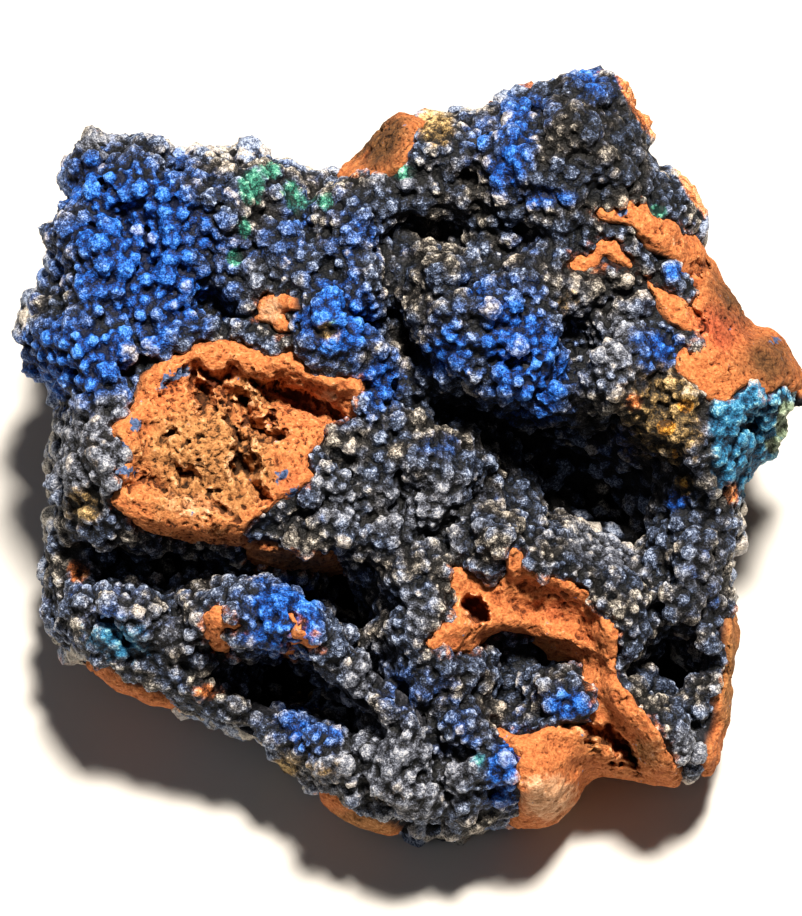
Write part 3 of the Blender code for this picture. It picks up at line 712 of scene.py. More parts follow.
def move_corners(piece: bpy.types.Object, points: Points) -> None:
    """Put the mesh's corners at new places."""
    piece.data.vertices.foreach_set("co", np.ascontiguousarray(points).ravel())
    piece.data.update()


def set_values(piece: bpy.types.Object, name: str, values: Points) -> None:
    """Write one number a corner as a mesh attribute.

    Args:
        piece: The object.
        name: The attribute's name.
        values: One value a corner.
    """
    layer = piece.data.attributes.new(name, "FLOAT", "POINT")
    layer.data.foreach_set("value", np.asarray(values, np.float32))


def bake(piece: bpy.types.Object) -> None:
    """Turn the object with its modifiers into a plain mesh.

    Args:
        piece: The object, which has no modifiers left afterwards.
    """
    graph = bpy.context.evaluated_depsgraph_get()
    mesh = bpy.data.meshes.new_from_object(piece.evaluated_get(graph))
    piece.modifiers.clear()
    old = piece.data
    piece.data = mesh
    bpy.data.meshes.remove(old)


def apply_modifier(piece: bpy.types.Object, kind: str, **settings: object) -> None:
    """Apply one modifier to the mesh for good.

    Args:
        piece: The object.
        kind: The modifier's type.
        **settings: Its properties.
    """
    modifier = piece.modifiers.new(kind.title(), kind)
    for key, value in settings.items():
        setattr(modifier, key, value)
    bake(piece)


def close_cut(bm: bmesh.types.BMesh, point: tuple, normal: tuple) -> None:
    """Cut away what lies on the normal's side of a plane and close the cut.

    Args:
        bm: The mesh.
        point: A point of the plane.
        normal: The plane's normal.
    """
    parts = bm.verts[:] + bm.edges[:] + bm.faces[:]
    cut = bmesh.ops.bisect_plane(bm, geom=parts, dist=CUT_GAP, plane_co=point, plane_no=normal,
                                 clear_outer=True)
    edges = [item for item in cut["geom_cut"] if isinstance(item, bmesh.types.BMEdge)]
    bmesh.ops.contextual_create(bm, geom=edges)


def cut_off(piece: bpy.types.Object, point: tuple, normal: tuple) -> None:
    """Cut one side of a piece off flat and leave it in triangles.

    Args:
        piece: The object.
        point: A point of the cut.
        normal: The side that goes.
    """
    bm = bmesh.new()
    bm.from_mesh(piece.data)
    close_cut(bm, point, normal)
    bmesh.ops.triangulate(bm, faces=bm.faces[:])
    bm.to_mesh(piece.data)
    bm.free()


def triangles_of(piece: bpy.types.Object) -> int:
    """How many triangles the mesh has."""
    piece.data.calc_loop_triangles()
    return len(piece.data.loop_triangles)


def weight_and_thin(piece: bpy.types.Object, spare: Points, triangles: int) -> None:
    """Thin a mesh to a number of triangles, mostly where it may be spared.

    Args:
        piece: The object.
        spare: For each corner, whether detail may go there first.
        triangles: How many triangles are left.
    """
    group = piece.vertex_groups.new(name="spare")
    group.add(np.flatnonzero(spare).tolist(), 1.0, "REPLACE")
    group.add(np.flatnonzero(~spare).tolist(), KEPT_WEIGHT, "REPLACE")
    share = triangles / triangles_of(piece)
    apply_modifier(piece, "DECIMATE", ratio=min(share, 1.0), vertex_group="spare")
    piece.vertex_groups.clear()


def drop_crumbs(piece: bpy.types.Object, fewest: int) -> None:
    """Remove loose parts of a mesh that are too small to matter.

    Args:
        piece: The object.
        fewest: How many corners a part needs to stay.
    """
    bm = bmesh.new()
    bm.from_mesh(piece.data)
    seen = set()
    crumbs = []
    for start in bm.verts:
        if start.index in seen:
            continue
        seen.add(start.index)
        part = [start]
        for corner in part:
            for edge in corner.link_edges:
                other = edge.other_vert(corner)
                if other.index not in seen:
                    seen.add(other.index)
                    part.append(other)
        if len(part) < fewest:
            crumbs += part
    bmesh.ops.delete(bm, geom=crumbs, context="VERTS")
    bm.to_mesh(piece.data)
    bm.free()


def drop_doubles(piece: bpy.types.Object) -> None:
    """Remove stray flakes: pairs of faces back to back on the same corners.

    Args:
        piece: The object.
    """
    bm = bmesh.new()
    bm.from_mesh(piece.data)
    alike: dict[frozenset[int], list[bmesh.types.BMFace]] = {}
    for face in bm.faces:
        alike.setdefault(frozenset(corner.index for corner in face.verts), []).append(face)
    flakes = [face for faces in alike.values() if len(faces) > 1 for face in faces]
    bmesh.ops.delete(bm, geom=flakes, context="FACES")
    bm.to_mesh(piece.data)
    bm.free()


def noise_at(points: Points, size: float, shift: float | Points = 0.0) -> Points:
    """Smooth noise with features of a size in millimetres, -1..1.

    Args:
        points: (u, v, w) points.
        size: Size of the features.
        shift: A shift that gives another pattern.

    Returns:
        One value a point.
    """
    return np.array([noise.noise(Vector(point)) for point in points / size + shift])


# ---------------------------------------------------------------- node trees


def linear(hex_colour: str) -> tuple[float, float, float, float]:
    """An sRGB hex colour as linear red, green, blue and alpha.

    Args:
        hex_colour: Six hex digits after a #.

    Returns:
        The colour that a shader's socket takes.
    """
    parts = [int(hex_colour[i:i + 2], 16) / 255 for i in (1, 3, 5)]
    red, green, blue = (p / 12.92 if p <= 0.04045 else ((p + 0.055) / 1.055) ** 2.4
                        for p in parts)
    return red, green, blue, 1.0


class NodeTree:
    """A node tree that is filled one node at a time."""

    def __init__(self, tree: bpy.types.NodeTree) -> None:
        """Take an empty tree to fill."""
        self.tree = tree

    def add(self, kind: str, settings: dict | None = None, **links: object) -> bpy.types.Node:
        """Add a node with its settings and its inputs.

        Args:
            kind: The node's type name.
            settings: Its properties, and a colour ramp's hex colours as "stops".
            **links: For each input, by name with _ for a space or by place as i0, i1: a
                node or socket to join, or a value.

        Returns:
            The node.
        """
        node = self.tree.nodes.new(kind)
        for key, value in (settings or {}).items():
            if key == "stops":
                while len(node.color_ramp.elements) < len(value):
                    node.color_ramp.elements.new(0.5)
                for stop, place, colour in zip(node.color_ramp.elements, STOP_PLACES, value):
                    stop.position = place
                    stop.color = linear(colour)
            else:
                setattr(node, key, value)
        for key, value in links.items():
            if key[0] == "i" and key[1:].isdigit():
                socket = node.inputs[int(key[1:])]
            else:
                socket = node.inputs[key.replace("_", " ")]
            if isinstance(value, bpy.types.Node):
                value = value.outputs[0]
            if isinstance(value, bpy.types.NodeSocket):
                self.tree.links.new(value, socket)
            else:
                socket.default_value = value
        return node


class GeometryTree(NodeTree):
    """A Geometry Nodes tree with named inputs, run once over a mesh."""

    def __init__(self, name: str, inputs: dict[str, float | int]) -> None:
        """Make the tree with a geometry, its named inputs and a material.

        Args:
            name: The tree's name.
            inputs: Each input's name and starting value.
        """
        tree = bpy.data.node_groups.new(name, "GeometryNodeTree")
        super().__init__(tree)
        face = tree.interface
        face.new_socket("Geometry", in_out="INPUT", socket_type="NodeSocketGeometry")
        self.ids: dict[str, str] = {}
        for label, value in inputs.items():
            kind = "NodeSocketInt" if isinstance(value, int) else "NodeSocketFloat"
            socket = face.new_socket(label, in_out="INPUT", socket_type=kind)
            socket.default_value = value
            self.ids[label] = socket.identifier
        socket = face.new_socket("Material", in_out="INPUT", socket_type="NodeSocketMaterial")
        self.ids["Material"] = socket.identifier
        face.new_socket("Geometry", in_out="OUTPUT", socket_type="NodeSocketGeometry")
        self.source = tree.nodes.new("NodeGroupInput")

    def finish(self, geometry: bpy.types.Node | bpy.types.NodeSocket) -> None:
        """Realize what was made, give it the material and send it out.

        Args:
            geometry: What was made.
        """
        solid = self.add("GeometryNodeRealizeInstances", i0=geometry)
        dressed = self.add("GeometryNodeSetMaterial", Geometry=solid,
                           Material=self.source.outputs["Material"])
        self.add("NodeGroupOutput", i0=dressed)

    def run(self, piece: bpy.types.Object, values: dict[str, object]) -> None:
        """Run the tree over a piece and keep the result as its mesh.

        Args:
            piece: The object.
            values: Values for the named inputs.
        """
        modifier = piece.modifiers.new(self.tree.name, "NODES")
        modifier.node_group = self.tree
        for label, value in values.items():
            modifier[self.ids[label]] = value
        bake(piece)


def grape_tree() -> GeometryTree:
    """Grapes: balls set with small nodules, scattered over the covered part of a surface.

    Returns:
        The tree.
    """
    tree = GeometryTree("Grapes", {"Spacing": 3.4, "Most to a square": 1.2, "Small radius": 1.4,
                                   "Large radius": 2.9, "Lift": 0.35, "Flatness": 0.15,
                                   "Stretch": 1.1, "Least zone": 0.0, "Most zone": 9.0,
                                   "Least cover": 0.6, "Core radius": 0.9, "Seat radius": 0.86,
                                   "Nodule radius": 0.3, "Small nodule": 0.6,
                                   "Large nodule": 1.35, "Seed": 3})
    given = tree.source.outputs
    tests = []
    for name, operation, label in (("cover", "GREATER_THAN", "Least cover"),
                                   ("grape", "GREATER_THAN", "Least zone"),
                                   ("grape", "LESS_THAN", "Most zone")):
        mark = tree.add("GeometryNodeInputNamedAttribute", FLOAT, Name=name)
        tests.append(tree.add("ShaderNodeMath", {"operation": operation}, i0=mark,
                              i1=given[label]))
    within = tree.add("ShaderNodeMath", {"operation": "MULTIPLY"}, i0=tests[1], i1=tests[2])
    chosen = tree.add("ShaderNodeMath", {"operation": "MULTIPLY"}, i0=tests[0], i1=within)
    spots = tree.add("GeometryNodeDistributePointsOnFaces", {"distribute_method": "POISSON"},
                     Mesh=given["Geometry"], Selection=chosen, Distance_Min=given["Spacing"],
                     Density_Max=given["Most to a square"], Seed=given["Seed"])

    # How large each grape is, and how far it stands out
    chance = tree.add("FunctionNodeRandomValue", FLOAT, Seed=given["Seed"])
    skewed = tree.add("ShaderNodeMath", {"operation": "POWER"}, i0=chance.outputs[1], i1=1.5)
    radius = tree.add("ShaderNodeMapRange", i0=skewed, To_Min=given["Small radius"],
                      To_Max=given["Large radius"])
    lift = tree.add("ShaderNodeMath", {"operation": "MULTIPLY"}, i0=radius, i1=given["Lift"])
    rise = tree.add("ShaderNodeVectorMath", {"operation": "SCALE"}, i0=spots.outputs["Normal"],
                    Scale=lift)
    raised = tree.add("GeometryNodeSetPosition", Geometry=spots, Offset=rise)

    # One rosette: a ball with nodules on seats that stray a little
    ball = tree.add("GeometryNodeMeshIcoSphere", Radius=given["Core radius"], Subdivisions=2)
    seats = tree.add("GeometryNodeMeshIcoSphere", Radius=given["Seat radius"], Subdivisions=2)
    stray = tree.add("FunctionNodeRandomValue", VECTOR, i0=(-0.12,) * 3, i1=(0.12,) * 3, Seed=5)
    moved = tree.add("GeometryNodeSetPosition", Geometry=seats, Offset=stray)
    bead = tree.add("GeometryNodeMeshIcoSphere", Radius=given["Nodule radius"], Subdivisions=1)
    some = tree.add("FunctionNodeRandomValue", FLOAT, Seed=6)
    share = tree.add("ShaderNodeMapRange", i0=some.outputs[1], To_Min=given["Small nodule"],
                     To_Max=given["Large nodule"])
    beads = tree.add("GeometryNodeInstanceOnPoints", Points=moved, Instance=bead, Scale=share)
    set_ball = tree.add("GeometryNodeJoinGeometry", i0=ball)
    tree.tree.links.new(beads.outputs[0], set_ball.inputs[0])
    rosette = tree.add("GeometryNodeRealizeInstances", i0=set_ball)

    # Each grape is turned, stretched and given a tint of its own
    turn = tree.add("FunctionNodeRandomValue", VECTOR, i1=(math.tau,) * 3, Seed=given["Seed"])
    least = tree.add("ShaderNodeMath", {"operation": "SUBTRACT"}, i0=1.0, i1=given["Flatness"])
    squash = tree.add("FunctionNodeRandomValue", FLOAT, Min=least, Max=given["Stretch"],
                      Seed=given["Seed"])
    shape = tree.add("ShaderNodeCombineXYZ", i0=1.0, i1=squash.outputs[1], i2=1.0)
    scale = tree.add("ShaderNodeVectorMath", {"operation": "SCALE"}, i0=shape, Scale=radius)
    draw = tree.add("FunctionNodeRandomValue", FLOAT, Seed=11)
    tinted = tree.add("GeometryNodeStoreNamedAttribute", STORED, Geometry=raised, Name="tint",
                      Value=draw.outputs[1])
    grown = tree.add("GeometryNodeInstanceOnPoints", Points=tinted, Instance=rosette,
                     Rotation=turn, Scale=scale)
    grown = tree.add("GeometryNodeRealizeInstances", i0=grown)
    for name, value in (("ball", 1.0), ("cover", 0.0)):
        grown = tree.add("GeometryNodeStoreNamedAttribute", STORED, Geometry=grown, Name=name,
                         Value=value)
    joined = tree.add("GeometryNodeJoinGeometry", i0=grown)
    tree.tree.links.new(given["Geometry"], joined.inputs[0])
    tree.finish(joined)
    return tree


def nodule_tree() -> GeometryTree:
    """Nodules: small rounded bumps all over a surface, and a record of how far it swells.

    Returns:
        The tree.
    """
    tree = GeometryTree("Nodules", {"Nodule size": 1.3, "Nodule height": 0.35, "Grain size": 3.6,
                                    "Grain height": 1.2, "Crest reach": 5, "Dell reach": 24})
    given = tree.source.outputs
    place = tree.add("GeometryNodeInputPosition")
    normal = tree.add("GeometryNodeInputNormal")
    kept = given["Geometry"]
    for name, reach in (("crest", "Crest reach"), ("dell", "Dell reach")):
        blurred = tree.add("GeometryNodeBlurAttribute", VECTOR, i0=place, Iterations=given[reach])
        inset = tree.add("ShaderNodeVectorMath", {"operation": "SUBTRACT"}, i0=place, i1=blurred)
        swell = tree.add("ShaderNodeVectorMath", {"operation": "DOT_PRODUCT"}, i0=inset,
                         i1=normal)
        kept = tree.add("GeometryNodeStoreNamedAttribute", STORED, Geometry=kept, Name=name,
                        Value=swell.outputs["Value"])
    size = tree.add("ShaderNodeMath", {"operation": "DIVIDE"}, i0=1.0, i1=given["Nodule size"])
    cells = tree.add("ShaderNodeTexVoronoi", {"feature": "F1"}, Vector=place, Scale=size)
    dome = tree.add("ShaderNodeMapRange", EASED, i0=cells.outputs["Distance"], From_Min=0.75,
                    From_Max=0.05, To_Min=-0.4, To_Max=0.6)
    high = tree.add("ShaderNodeMath", {"operation": "MULTIPLY"}, i0=dome,
                    i1=given["Nodule height"])
    grain = tree.add("ShaderNodeMath", {"operation": "DIVIDE"}, i0=1.0, i1=given["Grain size"])
    wavy = tree.add("ShaderNodeTexNoise", Vector=place, Scale=grain, Detail=2.0)
    centred = tree.add("ShaderNodeMath", {"operation": "SUBTRACT"}, i0=wavy, i1=0.5)
    wave = tree.add("ShaderNodeMath", {"operation": "MULTIPLY"}, i0=centred,
                    i1=given["Grain height"])
    total = tree.add("ShaderNodeMath", {"operation": "ADD"}, i0=high, i1=wave)
    push = tree.add("ShaderNodeVectorMath", {"operation": "SCALE"}, i0=normal, Scale=total)
    tree.finish(tree.add("GeometryNodeSetPosition", Geometry=kept, Offset=push))
    return tree


def memory_tree(source: bpy.types.Object, marks: tuple[str, ...]) -> GeometryTree:
    """Give a surface the marks of the surface that it was made from.

    Args:
        source: The surface with the marks.
        marks: Their names.

    Returns:
        The tree.
    """
    tree = GeometryTree("Marks", {})
    known = tree.add("GeometryNodeObjectInfo", Object=source).outputs["Geometry"]
    shape = tree.source.outputs["Geometry"]
    for name in marks:
        mark = tree.add("GeometryNodeInputNamedAttribute", FLOAT, Name=name)
        nearest = tree.add("GeometryNodeSampleNearestSurface", FLOAT, Mesh=known, Value=mark)
        shape = tree.add("GeometryNodeStoreNamedAttribute", STORED, Geometry=shape, Name=name,
                         Value=nearest)
    tree.finish(shape)
    return tree


def weather_tree() -> GeometryTree:
    """Weathering: lumps and pits eaten into bare limonite, deepest where it is porous.

    Returns:
        The tree.
    """
    tree = GeometryTree("Weathering", {"Lump size": 7.0, "Lump height": 1.6, "Grit size": 1.4,
                                       "Grit height": 0.5, "Hole size": 3.0, "Hole depth": 2.0,
                                       "Pit size": 1.4, "Pit depth": 0.8})
    given = tree.source.outputs
    place = tree.add("GeometryNodeInputPosition")
    bare, porous = (tree.add("GeometryNodeInputNamedAttribute", FLOAT, Name=name)
                    for name in ("bare", "porous"))
    total = 0.0
    for label, amount, low, high, least, most in (("Lump", "height", 0.0, 1.0, -1.0, 1.0),
                                                  ("Grit", "height", 0.0, 1.0, -1.0, 1.0),
                                                  ("Hole", "depth", 0.31, 0.39, -1.0, 0.0),
                                                  ("Pit", "depth", 0.35, 0.43, -1.0, 0.0)):
        size = tree.add("ShaderNodeMath", {"operation": "DIVIDE"}, i0=1.0,
                        i1=given[f"{label} size"])
        wavy = tree.add("ShaderNodeTexNoise", Vector=place, Scale=size, Detail=3.0,
                        Distortion=0.15)
        shaped = tree.add("ShaderNodeMapRange", i0=wavy, From_Min=low, From_Max=high,
                          To_Min=least, To_Max=most)
        deep = tree.add("ShaderNodeMath", {"operation": "MULTIPLY"}, i0=shaped,
                        i1=given[f"{label} {amount}"])
        total = tree.add("ShaderNodeMath", {"operation": "MULTIPLY_ADD"}, i0=deep, i1=porous,
                         i2=total)
    masked = tree.add("ShaderNodeMath", {"operation": "MULTIPLY"}, i0=total, i1=bare)
    normal = tree.add("GeometryNodeInputNormal")
    push = tree.add("ShaderNodeVectorMath", {"operation": "SCALE"}, i0=normal, Scale=masked)
    tree.finish(tree.add("GeometryNodeSetPosition", Geometry=given["Geometry"], Offset=push))
    return tree


# ---------------------------------------------------------------- finishes


@dataclass(frozen=True)
class Coat:
    """A pigment: the mark that says where it lies, how its border frays, and its colours."""

    mark: str
    frayed_by: str
    fray: float
    low: float
    high: float
    colours: tuple[str, ...]


class ShaderTree(NodeTree):
    """A material's node tree, with the mixes that both minerals use."""

    def __init__(self, name: str) -> None:
        """Make an empty material.

        Args:
            name: The material's name.
        """
        self.material = bpy.data.materials.new(name)
        self.material.use_nodes = True
        self.material.node_tree.nodes.clear()
        super().__init__(self.material.node_tree)
        self.where = self.add("ShaderNodeTexCoord").outputs["Object"]

    def total(self, start: float, terms: list[tuple[object, float]]) -> object:
        """Add up sources, each times its weight.

        Args:
            start: What the sum starts from.
            terms: The sources and their weights.

        Returns:
            The sum's node.
        """
        result = start
        for source, weight in terms:
            result = self.add("ShaderNodeMath", {"operation": "MULTIPLY_ADD"}, i0=source,
                              i1=weight, i2=result)
        return result

    def lay(self, under: object, coat: Coat, tone: object, frays: dict[str, object]) -> object:
        """Lay one coat of pigment over what is there.

        Args:
            under: The colour below.
            coat: The pigment.
            tone: How light each spot is, 0..1.
            frays: Noises that fray the pigments' borders, by name.

        Returns:
            The colour.
        """
        mark = self.add("ShaderNodeAttribute", {"attribute_name": coat.mark}).outputs["Fac"]
        edge = self.total(-0.5 * coat.fray, [(frays[coat.frayed_by], coat.fray), (mark, 1.0)])
        cover = self.add("ShaderNodeMapRange", EASED, i0=edge, From_Min=coat.low,
                         From_Max=coat.high)
        colour = self.add("ShaderNodeValToRGB", {"stops": coat.colours}, Fac=tone)
        return self.add("ShaderNodeMix", COLOUR, i0=cover, i6=under, i7=colour).outputs[2]

    def finish(self, colour: object, rise: object, depth_mm: float, roughness: float,
               sheen: float) -> bpy.types.Material:
        """Close the tree with a matt skin.

        Args:
            colour: The base colour.
            rise: The relief that is too fine for the mesh, 0..1.
            depth_mm: How deep that relief is.
            roughness: The skin's roughness.
            sheen: Its specular level.

        Returns:
            The material.
        """
        bump = self.add("ShaderNodeBump", Strength=1.0, Distance=depth_mm * MM, Height=rise)
        skin = self.add("ShaderNodeBsdfPrincipled", Base_Color=colour, Roughness=roughness,
                        Specular_IOR_Level=sheen, Normal=bump)
        self.add("ShaderNodeOutputMaterial", Surface=skin)
        return self.material


@dataclass(frozen=True)
class BotryoidalAzurite:
    """Botryoidal azurite: balls of fine radiating needles whose ends give a velvet skin.

    The needle ends scatter light, so it is rough with a low shine and pale on worn tips; the
    gaps are painted almost black as shade.  Needle ends are finer than shows, so they are drawn
    coarser.
    """

    nodule_mm: float = 1.0
    needle_mm: float = 0.38
    grape_mm: float = 2.6
    patch_mm: float = 7.0
    area_mm: float = 11.0
    roughness: float = 0.6
    sheen: float = 0.22
    bump_mm: float = 0.4
    slate: tuple[str, ...] = ("#04060a", "#1a2130", "#505d78", "#a3b0c8")
    umber: tuple[str, ...] = ("#080706", "#2a2725", "#746e66", "#c8c1b5")
    worn: tuple[str, ...] = ("#0c0b0a", "#4a443c", "#9c9184", "#d0c6b8")
    coats: tuple[Coat, ...] = (
        Coat("grey", "wander", 1.2, 0.35, 0.8, ("#07080a", "#41444e", "#7d828f", "#b4b6bc")),
        Coat("azure", "wander", 1.6, 0.12, 0.5, ("#03060f", "#132549", "#3c5c9a", "#88a3d6")),
        Coat("azure", "wander", 1.6, 0.45, 0.75, ("#020a24", "#0c367e", "#2268c6", "#5f9aea")),
        Coat("ochre", "grape", 1.0, 0.4, 0.8, ("#14100a", "#483923", "#8a7148", "#ccae7a")),
        Coat("ochre", "grape", 0.5, 1.35, 1.6, ("#3a2408", "#8a5c1c", "#c88e34", "#e8bc6c")),
        Coat("teal", "grape", 0.8, 0.35, 0.7, ("#06243a", "#1b5a80", "#3b86ae", "#8cbfca")),
        Coat("sage", "grape", 0.6, 0.5, 0.8, ("#28301f", "#63735a", "#8fa088", "#c0ccb0")),
        Coat("green", "grape", 1.0, 0.4, 0.8, ("#082420", "#25695a", "#5fa78c", "#a8d8c0")),
        Coat("rust", "grape", 1.0, 0.4, 0.8, ("#3a1b0c", "#8e4c26", "#d08048", "#f0b484")),
    )

    def material(self) -> bpy.types.Material:
        """Build the material.

        Returns:
            The material.
        """
        tree = ShaderTree("botryoidal azurite")
        patchy, grape, needle, area = (
            tree.add("ShaderNodeTexNoise", Vector=tree.where, Scale=1.0 / (size * MM),
                     Detail=detail, Roughness=0.6)
            for size, detail in ((self.patch_mm, 4.0), (self.grape_mm, 2.0),
                                 (self.needle_mm, 1.0), (self.area_mm, 3.0)))
        nodules = tree.add("ShaderNodeTexVoronoi", {"feature": "F1"}, Vector=tree.where,
                           Scale=1.0 / (self.nodule_mm * MM))
        tint, ball, crest, dell, soot = (
            tree.add("ShaderNodeAttribute", {"attribute_name": name}).outputs["Fac"]
            for name in ("tint", "ball", "crest", "dell", "soot"))

        # Painted shade and light: crests are painted lighter, and dells and the skin between the
        # balls painted darker as shade, darker still where the mark of dark crust and painted shade
        # lies
        dark_and_shade_sum = tree.total(-0.4, [(patchy, 0.8), (soot, 1.0)])
        dark = tree.add("ShaderNodeMapRange", EASED, i0=dark_and_shade_sum, From_Min=0.1, From_Max=0.9)
        raised = tree.add("ShaderNodeMapRange", i0=crest, From_Min=-0.3, From_Max=0.3,
                          To_Min=-0.36, To_Max=0.14)
        sunk = tree.add("ShaderNodeMapRange", i0=dell, From_Min=-0.8, From_Max=0.8,
                        To_Min=-0.62, To_Max=0.16)
        tone = tree.total(-0.17, [(needle, 1.5), (nodules, -0.5), (tint, 0.16), (ball, 0.2),
                                  (dark, -0.2), (raised, 1.0), (sunk, 1.0)])
        slate, umber, worn = (tree.add("ShaderNodeValToRGB", {"stops": stops}, Fac=tone)
                              for stops in (self.slate, self.umber, self.worn))
        broad = tree.total(0.0, [(area, 1.0), (tint, 0.12)])
        earthy = tree.add("ShaderNodeMapRange", EASED, i0=broad, From_Min=0.5, From_Max=0.66)
        colour = tree.add("ShaderNodeMix", COLOUR, i0=earthy, i6=slate, i7=umber).outputs[2]

        # A few balls are worn pale on their tips
        picked = tree.add("ShaderNodeMath", {"operation": "GREATER_THAN"}, i0=tint, i1=0.9)
        tip = tree.add("ShaderNodeMapRange", EASED, i0=dell, From_Min=0.2, From_Max=0.7,
                       To_Max=0.4)
        tips = tree.add("ShaderNodeMath", {"operation": "MULTIPLY"}, i0=picked, i1=tip)
        frays = {"grape": grape, "wander": tree.total(-0.1, [(patchy, 1.0), (tint, 0.1)])}
        for coat in self.coats:
            colour = tree.lay(colour, coat, tone, frays)
            if coat.mark == "azure":
                colour = tree.add("ShaderNodeMix", COLOUR, i0=tips, i6=colour,
                                  i7=worn).outputs[2]
        rise = tree.total(0.0, [(needle, 0.8), (nodules, -0.8)])
        return tree.finish(colour, rise, self.bump_mm, self.roughness, self.sheen)


@dataclass(frozen=True)
class EarthyLimonite:
    """Earthy limonite: rust-coloured iron hydroxide, crumbly and porous where it broke.

    It is dull and granular, orange with redder and yellow-brown areas, and its pores are
    painted dark as shade.
    """

    patch_mm: float = 9.0
    pore_mm: float = 2.2
    grit_mm: float = 0.6
    crumb_mm: float = 1.1
    roughness: float = 0.92
    sheen: float = 0.2
    bump_mm: float = 0.8
    orange: tuple[str, ...] = ("#5b2c15", "#ab6035", "#d0834d", "#eeb083")
    # Painted shade inside open pores
    pores: tuple[str, ...] = ("#120a06", "#24140b", "#3a2212", "#55341e")
    # Painted shade on rock that the crust hides
    soot: tuple[str, ...] = ("#060608", "#14151a", "#26272d", "#4a4a50")
    coats: tuple[Coat, ...] = (
        Coat("red", "patchy", 1.0, 0.3, 0.9, ("#44160c", "#a0452a", "#cf6642", "#ec926a")),
        Coat("ochre", "patchy", 1.2, 0.3, 0.9, ("#38220f", "#8a5a32", "#b9824f", "#e4b183")),
        Coat("pale", "pores", 0.8, 0.4, 0.9, ("#8a5c3c", "#c08c64", "#dfb08a", "#f6d6b8")),
        Coat("umber", "patchy", 0.9, 0.3, 1.0, ("#1e120a", "#4a2f1a", "#6e4a2b", "#9a6e42")),
        Coat("azure", "pores", 3.0, 0.6, 0.85, ("#10182a", "#2c3e60", "#5a6f96", "#93a3c0")),
    )

    def material(self) -> bpy.types.Material:
        """Build the material.

        Returns:
            The material.
        """
        tree = ShaderTree("earthy limonite")
        patchy, pores, grit, crumb = (
            tree.add("ShaderNodeTexNoise", Vector=tree.where, Scale=1.0 / (size * MM),
                     Detail=detail, Roughness=0.65)
            for size, detail in ((self.patch_mm, 4.0), (self.pore_mm, 2.0),
                                 (self.grit_mm, 3.0), (self.crumb_mm, 2.0)))
        crest, dell, bare, porous = (
            tree.add("ShaderNodeAttribute", {"attribute_name": name}).outputs["Fac"]
            for name in ("crest", "dell", "bare", "porous"))
        # Crests are painted lighter and dells painted darker as shade
        sunk = tree.add("ShaderNodeMapRange", i0=dell, From_Min=-1.2, From_Max=-0.1,
                        To_Min=-0.5, To_Max=0.0)
        tone = tree.total(-0.5, [(grit, 1.3), (pores, 0.65), (crest, 0.65), (sunk, 1.0)])
        orange, soot, black = (tree.add("ShaderNodeValToRGB", {"stops": stops}, Fac=tone)
                               for stops in (self.orange, self.soot, self.pores))
        colour = orange
        for coat in self.coats:
            colour = tree.lay(colour, coat, tone, {"patchy": patchy, "pores": pores})

        # Rock that the crust hides is painted near black as shade, and open pores are painted dark
        # as the shade inside them
        hidden = tree.total(1.08, [(bare, -1.2)])
        colour = tree.add("ShaderNodeMix", COLOUR, i0=hidden, i6=colour, i7=soot).outputs[2]
        thin = tree.total(0.19, [(crumb, 1.0), (porous, -0.25), (patchy, 0.12)])
        opened = tree.add("ShaderNodeMapRange", EASED, i0=thin, From_Min=0.35, From_Max=0.42,
                          To_Min=0.7, To_Max=0.0)
        colour = tree.add("ShaderNodeMix", COLOUR, i0=opened, i6=colour, i7=black).outputs[2]
        rise = tree.total(0.0, [(grit, 0.7), (pores, 0.8), (opened, -1.0)])
        return tree.finish(colour, rise, self.bump_mm, self.roughness, self.sheen)


# ---------------------------------------------------------------- sub-assemblies


